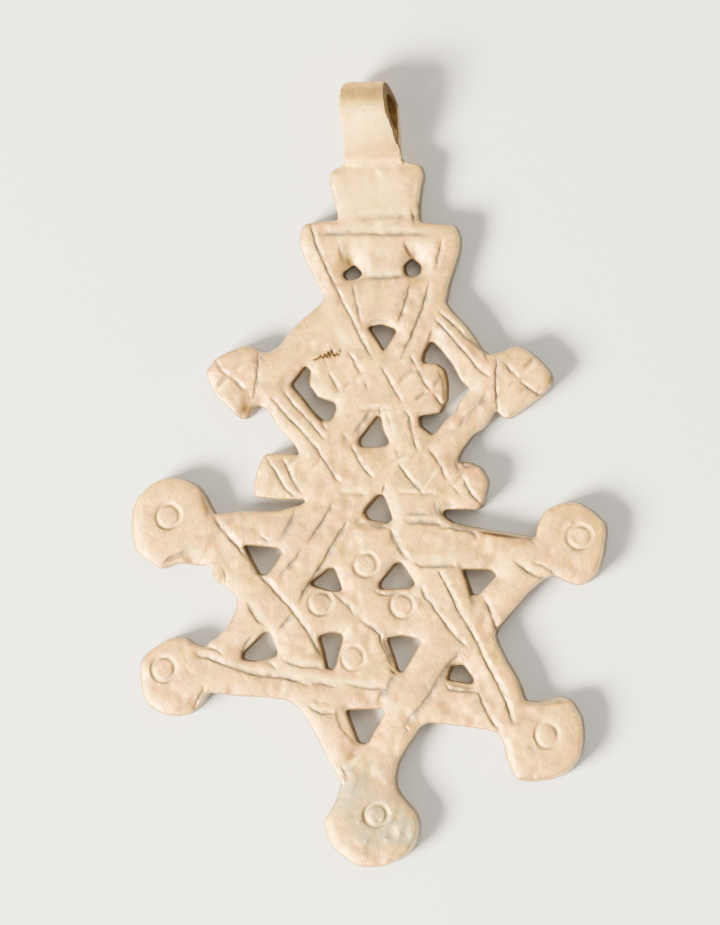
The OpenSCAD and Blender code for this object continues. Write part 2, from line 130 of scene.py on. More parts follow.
# How far the strap's right and left edges lie to the right of the casting's. Each row is (y, shift).
RIGHT_EDGE = [
    (29.5, 0.2), (30.2, 0.6), (31, 0.62), (32, 0.32), (33, 0.2), (34, 0.0), (35, -0.2), (36, -0.15),
    (37.6, 0),
]
LEFT_EDGE = [
    (29.5, 0), (30.2, -0.1), (31.2, -0.12), (32, 0.1), (33, 0.14), (35, 0.12), (36.4, 0.12), (37.3, -0.15),
    (37.6, -0.15),
]

# Cuts of the graver. Each row is (depth, width of the steep side, width of the long slope, points).
CUTS = [
    # crown and shoulder
    (0.1, 0.22, 0.8, [(-1.2, 24.5), (1.2, 24.6), (3.8, 24.75)]),
    (0.12, 0.25, 0.2, [(4.12, 25.2), (4.3, 24.5), (4.38, 23.9)]),
    (0.25, 0.12, 0.2, [(4.6, 25.95), (5.05, 25.2)]),
    (0.15, 0.2, 0.75, [(-4.9, 22.95), (-2, 23.1), (1, 22.95), (3.3, 23.0), (5.5, 22.95)]),
    (0.04, 0.15, 0.3, [(2.8, 28.2), (3.8, 27.7), (4.9, 27.1)]),
    (0.08, 0.12, 0.2, [(0.9, 31.6), (1.3, 31)]),
    (0.26, 0.13, 0.34, [(-5.75, 23.9), (-5.3, 22.5), (-4.8, 21), (-4, 19.4), (-3.4, 18), (-2.6, 16.6),
                        (-1.6, 14.6), (-0.9, 13.2), (0.25, 11)]),
    (0.22, 0.13, 0.3, [(-1.65, 18.2), (-1.2, 16), (-0.9, 14.6)]),
    (0.27, 0.16, 0.34, [(4.05, 18.5), (3.6, 17), (2.9, 14.6)]),
    (0.25, 0.14, 0.34, [(5.8, 18.3), (5.1, 15.8), (4, 13.2), (3.1, 11.2)]),
    (0.24, 0.14, 0.3, [(6.9, 22.3), (6.65, 21), (6.4, 19.7)]),
    (0.17, 0.2, 0.8, [(-0.5, 18.75), (1.6, 18.85), (3.5, 18.95)]),
    (0.2, 0.14, 0.3, [(-3, 22.1), (-2.75, 21.2), (-2.6, 20.4)]),
    (0.4, 0.22, 0.5, [(3.45, 22.2), (3.8, 21.3), (4.2, 20.5)]),
    (0.12, 0.1, 0.2, [(-0.3, 14.6), (0.2, 14.2)]),
    # upper right arm and right knob
    (0.25, 0.14, 0.34, [(6.65, 15.8), (6.9, 15.4), (9, 13.4), (11, 11.7), (11.5, 10.9)]),
    (0.24, 0.14, 0.32, [(6.3, 14.9), (8, 13.1), (10, 10.7), (10.8, 9.8), (11.5, 9.4)]),
    (0.3, 0.16, 0.14, [(12.35, 11.1), (12.2, 8.5), (12.4, 6)]),
    (0.25, 0.14, 0.32, [(13, 10.8), (13.7, 9.9), (14.35, 9.25)]),
    (0.25, 0.14, 0.28, [(14.6, 8.85), (15.5, 8.2), (16.8, 7.35)]),
    (0.2, 0.12, 0.16, [(16.6, 7.75), (17, 7.45)]),
    (0.2, 0.12, 0.16, [(17.2, 8.2), (17.6, 8)]),
    (0.12, 0.25, 0.6, [(11.3, 7.8), (10.7, 6.8), (9.5, 5.6), (8.5, 4.4)]),
    (0.1, 0.2, 0.5, [(10, 5.8), (9, 4.9), (8.2, 4.2)]),
    # left knob
    (0.3, 0.26, 0.3, [(-14.9, 10.9), (-14.4, 10.1), (-13.7, 9.5)]),
    (0.32, 0.28, 0.3, [(-13.3, 9.2), (-12.8, 8.8), (-12.2, 8.2)]),
    (0.28, 0.15, 0.16, [(-10.75, 11.6), (-10.95, 9.2), (-11.2, 7.4)]),
    (0.14, 0.12, 0.2, [(-10.9, 11.7), (-10.2, 10.9)]),
    # upper band
    (0.26, 0.16, 0.32, [(-3.95, 9.8), (-3.05, 8)]),
    (0.25, 0.14, 0.32, [(-2.1, 11.7), (-1.4, 10.7), (-0.8, 9.6)]),
    (0.25, 0.16, 0.3, [(-0.5, 8.9), (-0.15, 8.2)]),
    (0.25, 0.15, 0.32, [(1.2, 10.2), (2.1, 8.6), (3.05, 6.95)]),
    (0.2, 0.14, 0.26, [(3.95, 11.4), (4.5, 10.4)]),
    (0.34, 0.22, 0.34, [(4.6, 10.1), (5.2, 9.0), (5.8, 8.15)]),
    (0.32, 0.2, 0.3, [(6.2, 7.7), (7.15, 6.45)]),
    (0.2, 0.12, 0.3, [(3.4, 6.1), (3.8, 5.6), (4, 4.4), (4.3, 3.4), (4.55, 2.3)]),
    (0.1, 0.12, 0.22, [(-4.4, 11), (-4.1, 10.4)]),
    (0.1, 0.12, 0.22, [(5.5, 12.6), (5.15, 10.2)]),
    (0.14, 0.2, 0.5, [(0.15, 6.3), (-0.5, 5.2), (-1.7, 3.8)]),
    (0.14, 0.12, 0.22, [(-2.6, 3.9), (-2.2, 3.3)]),
    (0.12, 0.1, 0.22, [(1.6, 5.9), (1.95, 5), (2.1, 4.4)]),
    (0.24, 0.1, 0.14, [(0.95, 6.4), (1, 5.5)]),
    # lower left arm
    (0.25, 0.14, 0.34, [(-9.5, 7.3), (-8, 5.6), (-7, 4.6), (-6, 3.5), (-5, 2.4), (-4.5, 1.4), (-4, 0.7),
                        (-3, -0.7)]),
    (0.24, 0.14, 0.32, [(-8.5, 8.2), (-7.4, 6.7), (-6.8, 6.1), (-5.6, 4.8), (-4.4, 3.4)]),
    (0.2, 0.12, 0.26, [(-5.5, 6), (-4.7, 5), (-4.1, 4.2)]),
    (0.08, 0.12, 0.22, [(-9.9, 6.9), (-9, 5.4)]),
    # lower band
    (0.26, 0.15, 0.3, [(-10, 1.7), (-8.9, -0.2), (-8.1, -1.4), (-7.3, -2.1)]),
    (0.28, 0.17, 0.32, [(-8.45, 1.5), (-7.9, 0.4), (-7.2, -0.9), (-6.6, -1.7)]),
    (0.27, 0.16, 0.32, [(-1.8, 2.7), (-1.2, 1.6), (-0.8, 1), (-0.1, 0.1), (0.3, -0.3)]),
    (0.12, 0.2, 0.5, [(2.5, 2.5), (2.7, 1.7)]),
    (0.29, 0.17, 0.3, [(2.85, 1), (3.3, 0.3), (4, -0.6), (4.9, -1.6), (5.15, -1.95)]),
    (0.25, 0.15, 0.32, [(5.7, 2.5), (6.2, 1.8), (6.8, 0.9), (7.1, 0.2), (7.5, -0.45)]),
    (0.16, 0.13, 0.28, [(7.8, -0.9), (8.7, -1.9)]),
    (0.2, 0.14, 0.3, [(8.3, 1.3), (8.6, 0.2)]),
    (0.16, 0.16, 0.3, [(8.6, 1.6), (9.2, 0.8), (10, 0.85)]),
    (0.3, 0.18, 0.34, [(8.9, -0.2), (9.4, -1.1), (9.9, -1.9), (10.4, -2.4), (11, -2.9)]),
    (0.24, 0.14, 0.2, [(1.5, -0.9), (1.3, -1.9)]),
    # star, upper left arm
    (0.24, 0.3, 0.45, [(-7.1, -3.5), (-7.4, -4.3), (-8.2, -5.6), (-8.6, -6.1)]),
    (0.24, 0.15, 0.36, [(-3.6, -2.9), (-4.2, -3.9), (-5.4, -5.7), (-5.9, -6.6)]),
    (0.15, 0.18, 0.4, [(-6.4, -7.2), (-7.4, -8.3), (-8.1, -9), (-8.8, -9.9)]),
    (0.3, 0.18, 0.36, [(-2.2, -4.6), (-2.8, -5.5), (-3.7, -7), (-4.2, -8), (-5, -9.2), (-6.1, -10.8),
                       (-6.9, -12.3)]),
    (0.34, 0.2, 0.5, [(-15.1, -4.15), (-14.7, -4.8), (-14, -5.6), (-13, -6.7), (-12.4, -7.5),
                      (-11.9, -8.1)]),
    (0.32, 0.18, 0.5, [(-10.9, -9.5), (-10, -10.3), (-9.3, -11.1), (-8.6, -12), (-7.9, -12.5), (-7.4, -13.2),
                       (-6.4, -14.5), (-5.7, -15.5), (-5.2, -16.5), (-4.6, -17.5)]),
    (0.3, 0.16, 0.8, [(-11.9, -12.3), (-11.4, -13.2), (-10.8, -14.1), (-10.2, -14.5)]),
    (0.28, 0.16, 0.45, [(-3.5, -11.4), (-2.5, -12.2), (-1.55, -13.3)]),
    (0.3, 0.17, 0.45, [(-0.95, -13.9), (-0.2, -14.4), (0.5, -14.9), (1, -15.3), (1.1, -16), (1.6, -17),
                       (2, -17.9), (2.2, -18.4)]),
    (0.22, 0.14, 0.2, [(-10.6, -5.9), (-9.9, -6.4)]),
    (0.2, 0.18, 0.55, [(-8.9, -15.0), (-8.2, -14.2), (-7.4, -13.4)]),
    (0.14, 0.12, 0.2, [(1.5, -15), (1.75, -15.5)]),
    # star, upper right arm
    (0.24, 0.15, 0.3, [(0.2, -4.75), (1, -4.95), (2, -5.1)]),
    (0.32, 0.36, 0.45, [(2, -5.0), (2.4, -6.1), (2.85, -7.0), (3.6, -7.95)]),
    (0.24, 0.22, 0.5, [(3.35, -4.25), (3.8, -4.6), (5.5, -4.62), (6.5, -4.7), (7.2, -5.05)]),
    (0.12, 0.2, 0.35, [(3.3, -3.85), (4.4, -3.72), (6.2, -3.75)]),
    (0.24, 0.15, 0.3, [(7.2, -5.08), (8, -5.15), (9.3, -5.3), (9.9, -5.45), (10.2, -5.7), (10.3, -6.1)]),
    (0.14, 0.2, 0.3, [(6.3, -2.7), (6.4, -3.3), (6.7, -3.75), (7.3, -4.35)]),
    (0.26, 0.18, 0.85, [(4.3, -8.4), (5, -8.75), (7, -8.75), (8.3, -8.7)]),
    (0.26, 0.15, 0.34, [(0.5, -11.05), (0.9, -11.4), (1.7, -11.5), (3.5, -11.4)]),
    (0.1, 0.13, 0.25, [(3.5, -11.4), (4.7, -11.8)]),
    (0.26, 0.15, 0.6, [(13.8, -8.1), (14.6, -8.8), (15.2, -9.3), (16.9, -9.95)]),
    (0.16, 0.14, 0.3, [(15.9, -8.4), (17, -8.85), (17.6, -9.2), (18.1, -9.65)]),
    (0.22, 0.14, 0.24, [(15, -6.1), (15.6, -6.3), (16.05, -6.65)]),
    (0.12, 0.12, 0.2, [(10.1, -5.4), (10.2, -6)]),
    # star, long bar to the lower right lobe
    (0.28, 0.15, 0.4, [(5.05, -10.7), (5.3, -11.7), (5.9, -12.1), (6.3, -12.9), (7, -13.8), (7.9, -15),
                       (8.6, -15.8), (9.3, -16.45)]),
    (0.31, 0.15, 0.42, [(6.7, -9.3), (7.1, -10), (8, -11.7), (8.6, -13), (9.1, -13.9), (10, -15.3),
                        (10.6, -16.5), (11, -17.4), (11.6, -18.6), (12.2, -19.6), (12.8, -20.7),
                        (13.2, -21.7), (13.6, -23), (13.95, -23.9)]),
    (0.24, 0.25, 0.4, [(8.6, -8.5), (9.2, -9.4), (9.6, -10.4), (9.8, -11.6), (10.1, -12.3)]),
    (0.28, 0.2, 0.4, [(11.1, -11.8), (11.5, -12.7), (11.9, -13.7), (12.3, -14.7), (12.5, -15.3)]),
    (0.3, 0.16, 0.55, [(10.45, -20.75), (10.9, -21.9), (11.5, -22.9), (12, -23.8), (12.5, -24.4)]),
    (0.24, 0.15, 0.3, [(7.3, -20), (7.7, -20.5), (9.3, -20.7), (10.4, -20.8)]),
    (0.1, 0.07, 0.08, [(9.0, -16.9), (9.35, -17.25)]),
    (0.1, 0.07, 0.08, [(8.85, -17.35), (9.2, -17.75)]),
    # star, bar from the lower left lobe
    (0.29, 0.16, 0.5, [(-17, -17.05), (-16.6, -17.4), (-15.7, -17.6), (-14.5, -18.1), (-13.5, -18.4),
                       (-12.5, -18.8), (-11.5, -19.1), (-10, -19.3), (-8.5, -19.45), (-7.5, -19.7),
                       (-5.8, -20.2)]),
    (0.22, 0.14, 0.4, [(-5.6, -19.95), (-4.3, -20.1), (-3.3, -20.3)]),
    (0.22, 0.14, 0.34, [(-16, -16.55), (-15, -16.8), (-14.3, -17.2)]),
    (0.2, 0.13, 0.5, [(-8.6, -17.8), (-7.9, -18), (-6.7, -18.4), (-5, -18.5), (-4.2, -18.9)]),
    (0.2, 0.14, 0.36, [(-2.3, -20.05), (-1, -20.3), (0, -20.5), (1.5, -20.5)]),
    (0.16, 0.13, 0.3, [(-9.9, -18), (-9.4, -18.3), (-9, -18.8)]),
    (0.06, 0.15, 0.3, [(-6.6, -21.7), (-5.2, -21.7), (-3.4, -21.95)]),
    (0.24, 0.15, 0.34, [(-6, -22), (-5.4, -22.6), (-4.8, -22.85), (-3.5, -22.8)]),
    (0.06, 0.12, 0.25, [(-17.9, -18.4), (-17.2, -19.7)]),
    (0.3, 0.18, 0.3, [(-16.1, -20.4), (-16.5, -21.4), (-17.1, -22.4)]),
    (0.16, 0.13, 0.25, [(-14.3, -8.9), (-14, -9.6), (-14, -10.5)]),
    # star, bar from the upper right lobe to the bottom lobe
    (0.26, 0.16, 0.3, [(2, -18.6), (2.65, -19.15)]),
    (0.18, 0.3, 0.6, [(2.5, -19.2), (1.9, -20), (1.8, -20.4), (1.2, -21), (0.75, -21.8)]),
    (0.2, 0.3, 0.5, [(8.9, -16.9), (7.7, -18.2), (6.8, -19.5), (6.2, -20.5), (5.2, -22), (4.3, -23),
                     (3.5, -23.9)]),
    (0.24, 0.12, 0.18, [(3.4, -24), (3.7, -24.5)]),
    (0.07, 0.12, 0.25, [(5.2, -20), (5.8, -21)]),
    (0.4, 0.2, 0.24, [(-2.65, -27.95), (-2.2, -28.75)]),
    # upper left lobe
    (0.24, 0.22, 0.3, [(-20.1, -8.6), (-19, -7.9), (-18.3, -7.6), (-17.6, -7)]),
]

# A ragged crack across the left end of the upper band
CRACK = [
    (-5.35, 11.0), (-4.95, 11.12), (-4.7, 11.38), (-4.55, 11.18), (-4.3, 11.5), (-4.15, 11.3),
    (-3.95, 11.66), (-3.85, 11.42), (-3.65, 11.86), (-3.4, 11.36), (-3.2, 11.6), (-3.0, 11.42),
    (-2.8, 11.98),
]

# Ledges cut down beside a gap, in a step. Each row is (depth, width, a point on the low side, points along
# the ledge's top).
LEDGES = [
    # top, right and middle gaps
    (0.15, 0.4, (1, 13.9), [(-0.4, 14.75), (1, 14.9), (2.6, 14.6)]),
    (0.21, 0.45, (7, 12.5), [(5.95, 14.2), (5.3, 12), (5.15, 10.6)]),
    (0.21, 0.4, (5.8, 5.2), [(4.55, 6), (4.7, 5), (5.3, 4.5), (6, 3.5)]),
    (0.15, 0.5, (7.7, 9), [(6.2, 10.2), (6.9, 9), (7.05, 7.6), (6.9, 6.6)]),
    (0.08, 0.5, (-12.4, 4.9), [(-13.5, 6.7), (-12.4, 7.1), (-11.5, 7.2)]),
    # lower gap
    (0.21, 0.5, (1, -3.4), [(-0.95, -4.3), (-0.55, -3.1), (0.9, -1.5)]),
    (0.18, 0.4, (0.9, -4.4), [(-0.2, -4.7), (1, -4.95), (2.1, -5.05)]),
    (0.21, 0.5, (7.7, -3.8), [(6.45, -2.9), (6.65, -3.7), (7.3, -4.4)]),
    # star: top bar
    (0.15, 0.35, (9, -4.4), [(7.4, -5.02), (9.4, -5.25), (10.1, -5.45)]),
    (0.25, 0.5, (12, -5), [(10.4, -5.55), (12.5, -5.95), (15, -6.2)]),
    # star: gaps
    (0.21, 0.45, (-10.6, -8), [(-12.3, -7.2), (-11.3, -8.7), (-10.5, -9.8)]),
    (0.19, 0.55, (-11.2, -17.2), [(-11.3, -15.15), (-12.1, -16), (-12.6, -17), (-12.3, -17.8)]),
    (0.21, 0.5, (2.9, -9.8), [(2.2, -8.3), (1.95, -9.2), (1.35, -9.9), (0.9, -10.6)]),
    (0.18, 0.5, (-3.8, -17), [(-4.95, -16), (-4.75, -17.2), (-4.4, -18.2)]),
    (0.27, 0.7, (3.1, -16.5), [(1, -15.35), (1.25, -16.2), (1.7, -17.2), (2.25, -18.6)]),
    (0.15, 0.45, (11, -10), [(9, -9), (9.5, -10.2), (9.9, -11.7)]),
    (0.13, 0.6, (9, -19), [(8.6, -17.3), (7.75, -18.3), (7.1, -19.3)]),
    (0.21, 0.45, (9, -19.6), [(7.4, -20.15), (9.2, -20.55), (10.3, -20.7)]),
    (0.14, 0.6, (-0.5, -24), [(-3.45, -22.3), (-3.35, -23.2), (-2.95, -24.3), (-1.3, -26.2)]),
]
# Bevels filed down to an edge of a lobe or the crown, with the same columns
BEVELS = [
    (0.5, 0.5, (-15, -2.5), [(-16.75, -1.3), (-16.2, -2.6), (-15.9, -3.9), (-15.5, -4.4)]),
    (0.5, 1.4, (-16.6, -9.4), [(-18.6, -7.6), (-17.4, -7), (-15.8, -7.5), (-15.1, -8.6)]),
    (0.4, 0.45, (18, -21), [(14.95, -22.1), (16.4, -22.1), (17.4, -21.95), (19.3, -21.9)]),
    (0.45, 0.5, (21, -25), [(19.6, -22), (20.1, -22.8), (20.4, -24), (20.45, -25.5), (20.2, -26.8),
                            (19.4, -27.9)]),
    (0.4, 0.5, (17, -29.6), [(14.2, -28.7), (16, -28.95), (17.8, -28.7), (19.2, -28)]),
    (0.2, 0.75, (12.6, -27), [(13.6, -24.9), (13.9, -26.5), (14.2, -28), (14.9, -28.8)]),
    (0.12, 0.9, (-4.6, -26), [(-6, -22.6), (-5, -24.4), (-3.9, -26.4), (-2.9, -28)]),
    (0.22, 0.8, (-22.8, -20), [(-21.8, -18.4), (-21.75, -20.2), (-21.2, -21.6), (-19.8, -22.4)]),
    (0.22, 0.7, (-23.4, -5), [(-22.6, -3), (-22.65, -5), (-22.4, -7), (-21.4, -8.2)]),
    (0.24, 0.9, (-4.8, -34), [(-3.6, -33), (-3.4, -34.6), (-2.6, -35.9), (-1.2, -36.8)]),
    (0.3, 0.5, (23.2, -6), [(22.5, -5), (22.5, -6.6), (22, -8.4)]),
    (0.22, 0.6, (5.1, -34), [(3.9, -32.4), (4.4, -33.6), (4.1, -34.9), (3.3, -36)]),
    (0.22, 0.6, (-4.4, 28), [(-3.5, 29.2), (-3.45, 27.6), (-2.7, 25.6)]),
]

# Shallow scrapes, mostly the second strokes of the crossed hatching: a painted highlight runs along each
# burr, and painted shade lies in the gutter on the left of the way they run. Each row is (width, highlight
# and burr height, shade and gutter depth, points).
SCRAPES = [
    # knobs
    (0.28, 0.9, 0.75, [(-14.75, 8.0), (-13.9, 8.8), (-13.4, 9.5)]),
    (0.28, 0.8, 0.3, [(-12.9, 9.9), (-12.2, 10.4), (-11.7, 10.8)]),
    (0.3, 0.9, 0.83, [(15.0, 9.75), (15.7, 10.3), (16.4, 10.95)]),
    (0.12, 0.4, 0.75, [(13.45, 8.2), (13.9, 8.6), (14.3, 8.95)]),
    # upper band
    (0.3, 0.9, 0.52, [(3.0, 8.4), (3.8, 9.2), (4.8, 9.9)]),
    (0.25, 0.6, 0.9, [(4.5, 6.8), (5.2, 7.3), (5.9, 7.8)]),
    (0.3, 0.9, 0.3, [(-1.4, 8.6), (-0.7, 9.3), (0, 9.9)]),
    (0.18, 0.5, 0.52, [(-2.4, 8.0), (-1.9, 8.5), (-1.4, 8.8)]),
    (0.25, 0.5, 0.6, [(6.3, 8.0), (6.8, 8.6), (7.3, 9.1)]),
    (0.25, 0.8, 0.52, [(2, 6.7), (0.5, 6.6), (-1.2, 6.5)]),
    # lower band
    (0.25, 0.8, 0.45, [(-5.6, 0.2), (-4.9, 0.8), (-4.2, 1.6)]),
    (0.28, 1.0, 0.38, [(2.2, 0.9), (3.0, 1.4), (4.2, 2.0)]),
    (0.25, 0.6, 0.45, [(-7.9, 0.6), (-7.1, 1.3), (-6.3, 2.0)]),
    (0.28, 1.0, 0.45, [(-0.2, -1.4), (-3.0, -1.4)]),
    (0.2, 0.6, 0.38, [(6.5, -1.5), (2.6, -1.5)]),
    (0.26, 0.8, 0.45, [(8.2, -1.4), (8.9, -0.7), (9.7, 0.1)]),
    (0.15, 0.7, 0.15, [(4.9, -1.9), (6.4, 0.2), (7.6, 1.4)]),
]

# Dents, and lumps where the depth is negative. Each row is (x, y, half length, half width, turn in degrees,
# depth).
DENTS = [
    (-1.75, 20.0, 1.25, 0.95, 70, 0.62),
    (-0.6, 19.6, 0.8, 0.5, 80, 0.2),
    (4.45, 20.2, 1.5, 0.8, 100, 0.6),
    (5.2, 20.4, 1.2, 0.5, 90, 0.16),
    (-14.75, -9.8, 0.55, 0.35, 75, -0.16),
    (-1.6, -26.8, 0.55, 0.32, 35, 0.14),
    (-1.25, -27.3, 1.1, 0.3, 45, -0.13),
    (-2.6, -29.2, 0.35, 0.25, 120, -0.1),
    (-4.1, -12.4, 0.35, 0.6, 0, 0.08),
    (-0.95, -4.6, 0.5, 0.35, 20, 0.14),
    (-1.0, -33.2, 0.22, 0.16, 40, -0.07),
    (1.6, -34.85, 0.25, 0.16, 10, -0.07),
    (2.8, -34.3, 0.25, 0.2, 60, -0.05),
    (-0.3, -35.1, 0.22, 0.15, 60, -0.05),
    (0.8, -33.15, 0.3, 0.18, 10, 0.08),
    (19.4, -4.6, 0.25, 0.18, 80, -0.06),
    (10.2, 8.6, 1.2, 0.4, 45, 0.06),
    (-2.2, 13.2, 0.7, 0.5, 60, -0.07),
    (-2.7, -0.3, 0.35, 0.3, 30, -0.08),
    (-6, 2.2, 0.9, 0.5, 0, -0.07),
    (3.4, 1.4, 0.6, 0.3, 20, -0.06),
    (10.8, 0.4, 0.8, 0.5, 0, 0.05),
    (-2.2, -22.4, 0.4, 0.3, 0, 0.12),
    (-19.5, -20.9, 1.5, 0.8, 0, 0.05),
    (8.2, 6.2, 0.6, 0.35, 30, 0.05),
    (17.4, -7.8, 1.4, 0.9, 20, 0.05),
    (-9.8, -4.6, 1.4, 0.6, 10, 0.05),
    (5.8, -6.6, 1.5, 0.9, 10, 0.05),
]

# The ring stamps. Each row is (x, y, radius, depth).
RINGS = [
    (-19.54, -3.98, 1.12, 0.3), (-20.03, -18.65, 1.14, 0.32), (0.62, -32.55, 1.08, 0.28),
    (17.15, -24.85, 1.1, 0.22), (20.3, -5.92, 1.12, 0.22), (-4.76, -12.3, 1.1, 0.26),
    (-0.37, -8.62, 1.1, 0.22), (3.12, -12.55, 1.1, 0.26), (-1.63, -17.52, 1.1, 0.2),
]

# High spots that wear keeps bright, and painted highlights on the strap's front where it faces the light and
# on the lit slopes beside many cuts and the small eyes. Each row is (x, y, half length, half width, turn in
# degrees, strength).
POLISH_AND_HIGHLIGHTS = [
    (-0.8, 33.9, 2.6, 2.1, 0, 1.1), (-2.0, 31.4, 0.5, 1.8, 4, 0.5), (-2.4, 25.4, 0.8, 1.0, 0, 0.8),
    (0.4, 27.2, 3.6, 2.2, 0, 0.9), (0.6, 21, 5.0, 3.0, 0, 0.3), (0, 10, 6.0, 3.0, 0, 0.15),
    (1.4, 24.95, 2.8, 0.4, 3, 0.9), (-0.4, 21, 0.5, 1.2, 0, 0.45), (5.6, 20.5, 0.4, 1.4, 0, 0.3),
    (-2.6, 13, 0.8, 1.0, 20, 0.8), (0.4, 23.35, 5.4, 0.32, 0, 0.9), (1.6, 19.3, 2.2, 0.34, 0, 0.9),
    (-3.8, 15.3, 1.6, 0.6, 115, 0.4), (10.1, 8.6, 1.1, 0.7, 60, 0.8), (16.2, 9.2, 0.8, 0.8, 0, 0.5),
    (13.6, 7, 0.9, 0.9, 0, 0.4), (-3.1, 6.3, 0.5, 0.5, 0, 0.6), (-6.5, 2.2, 0.8, 0.6, 20, 0.7),
    (2.2, 4, 1.3, 0.4, 100, 0.7), (8.7, 8.5, 2.0, 0.4, 130, 0.5), (-6, -0.8, 1.5, 0.6, 80, 0.4),
    (2.5, -3.1, 1.8, 0.55, 112, 1.0), (-22.3, -5, 2.6, 0.4, 90, 0.5), (-20.6, -8.1, 1.2, 0.4, -10, 0.5),
    (-16.6, -7.5, 1.6, 0.6, -15, 0.8), (-13.8, -9.5, 0.8, 0.7, 0, 0.5), (-12.6, -11.4, 1.4, 0.4, 130, 0.7),
    (-10.6, -13.7, 1.8, 0.4, 125, 0.6), (-18.8, -17.6, 0.5, 0.8, 0, 0.4), (-21, -21.4, 1.5, 0.5, -38, 0.7),
    (13.1, -9.1, 0.9, 1.1, 0, 1.0), (6, -9.2, 1.8, 0.5, 115, 0.6), (4.7, -10.4, 1.8, 0.35, 130, 0.6),
    (8.5, -13.4, 2.6, 0.4, 118, 0.5), (11.5, -20, 3.0, 0.4, 115, 0.5), (-14.2, -16.4, 0.9, 0.5, 30, 0.6),
    (-6, -22.2, 1.2, 0.4, -40, 0.5), (-3.9, -25.5, 2.2, 0.5, 120, 0.6), (1.8, -21.9, 1.0, 0.5, 120, 0.7),
    (-0.6, -27, 1.0, 0.4, 45, 0.5), (-4, -33, 2.4, 0.4, 105, 0.5), (-2.6, -35.8, 1.2, 0.4, -35, 0.4),
    (5.1, -15.6, 0.5, 0.5, 0, 0.5), (-2, -15.7, 0.6, 0.5, 0, 0.5), (20.4, -5.9, 0.6, 0.8, 0, 0.3),
    (14.3, -28.2, 0.6, 0.8, 0, 0.4), (5.5, -4.15, 2.2, 0.28, 0, 0.6), (-9.5, -18.75, 4.5, 0.3, -6, 0.8),
    (-4.2, -19.65, 2.4, 0.3, -8, 0.9), (-6.2, -18.1, 2.2, 0.32, -6, 0.8), (-0.4, -20.0, 2.2, 0.3, -5, 0.9),
    (-1.5, -27.5, 1.5, 0.3, 50, 0.9), (6.2, -8.1, 2.4, 0.4, 0, 0.9), (-7.9, -14.5, 1.3, 0.3, 45, 0.9),
    (-11.5, -15.9, 1.4, 0.2, 52, 0.5), (16.2, -8.9, 1.6, 0.4, -20, 0.5), (-0.6, -13.5, 1.4, 0.3, -40, 0.4),
    (2.1, -16.2, 0.4, 1.2, 10, 0.4),
]
# Dull patches where dirt and thin tarnish hold, with the same columns
DULL = [
    (0.9, 31.2, 1.4, 1.0, 0, 0.6), (-0.2, 30.9, 2.0, 0.6, 0, 0.6), (1.4, 21, 1.6, 1.1, 0, 0.3),
    (6.4, 8.4, 0.6, 1.6, 0, 0.6), (5.4, 6.8, 0.8, 0.6, 0, 0.5), (-8.9, 11.3, 1.6, 0.8, 40, 0.35),
    (-12.3, -15.5, 1.4, 0.7, 130, 0.5), (-8.1, -5, 1.5, 0.4, 65, 0.5), (-5.2, -5, 1.9, 0.35, 57, 0.35),
    (-3.8, -12.4, 0.5, 1.0, 0, 0.5), (3.6, -11.7, 0.5, 0.8, 0, 0.5), (-5.5, -16.6, 1.4, 0.35, 120, 0.5),
    (10.5, -11.3, 1.4, 0.4, 105, 0.3), (9.5, -16.3, 0.6, 0.6, 0, 0.6), (6.5, -18.5, 4.0, 0.7, 52, 0.5),
    (3.0, -34.2, 1.5, 2.0, 0, 0.55), (-2.4, -30.6, 1.0, 1.6, 0, 0.5), (8, -20.6, 1.6, 0.4, 0, 0.4),
    (12.8, -21, 3.0, 0.3, 118, 0.4), (9, -4.9, 2.0, 0.3, -6, 0.4), (-10, -20.6, 4.0, 0.5, -4, 0.35),
    (0.6, -9, 0.8, 1.6, 0, 0.25), (-8.6, 5.6, 2.4, 0.4, 130, 0.3), (7.6, 13.6, 2.4, 0.35, 135, 0.3),
    (15.5, -25.5, 1.0, 1.0, 0, 0.2), (17.6, -10.6, 1.6, 0.6, -20, 0.3), (1.5, -27.6, 0.8, 1.6, 0, 0.25),
    (3.4, 0.4, 2.4, 0.4, 0, 0.2), (0.6, -32.5, 3.8, 3.6, 0, 1.0),
]
# Old rusty stains
OCHRE = [
    (-6.5, 10.4, 1.0, 0.8, 30, 0.55), (-5.3, 12, 0.9, 0.45, 20, 0.6), (10.6, -8, 1.3, 0.35, 0, 0.6),
    (12.2, -5.85, 2.3, 0.28, -9, 0.9), (-19.2, -8.2, 1.1, 0.35, 30, 0.5), (10, -3, 1.6, 0.2, 0, 0.6),
    (-11, -21, 3.6, 0.25, -3, 0.5), (2.5, -30.7, 0.7, 0.5, 30, 0.35), (18.6, -21.7, 1.4, 0.25, 0, 0.7),
    (16, -28.9, 1.8, 0.25, 0, 0.8), (22.8, -6.2, 0.3, 1.3, 0, 0.45), (5.5, 7.2, 0.9, 0.5, 20, 0.5),
    (-4.6, -9.6, 0.8, 0.3, 55, 0.45), (3, -14.6, 2.2, 0.3, 0, 0.3), (7.9, -17.9, 0.8, 0.35, 60, 0.5),
    (-4.6, -14.3, 1.5, 0.4, 10, 0.3), (-12.6, 6.3, 0.7, 0.5, 0, 0.7), (17.2, 8.9, 0.4, 0.6, 0, 0.5),
    (6.9, 9, 0.6, 1, 0, 0.4), (11.2, -0.6, 0.4, 0.8, 0, 0.4), (4.4, -36.2, 0.7, 0.4, 40, 0.2),
]
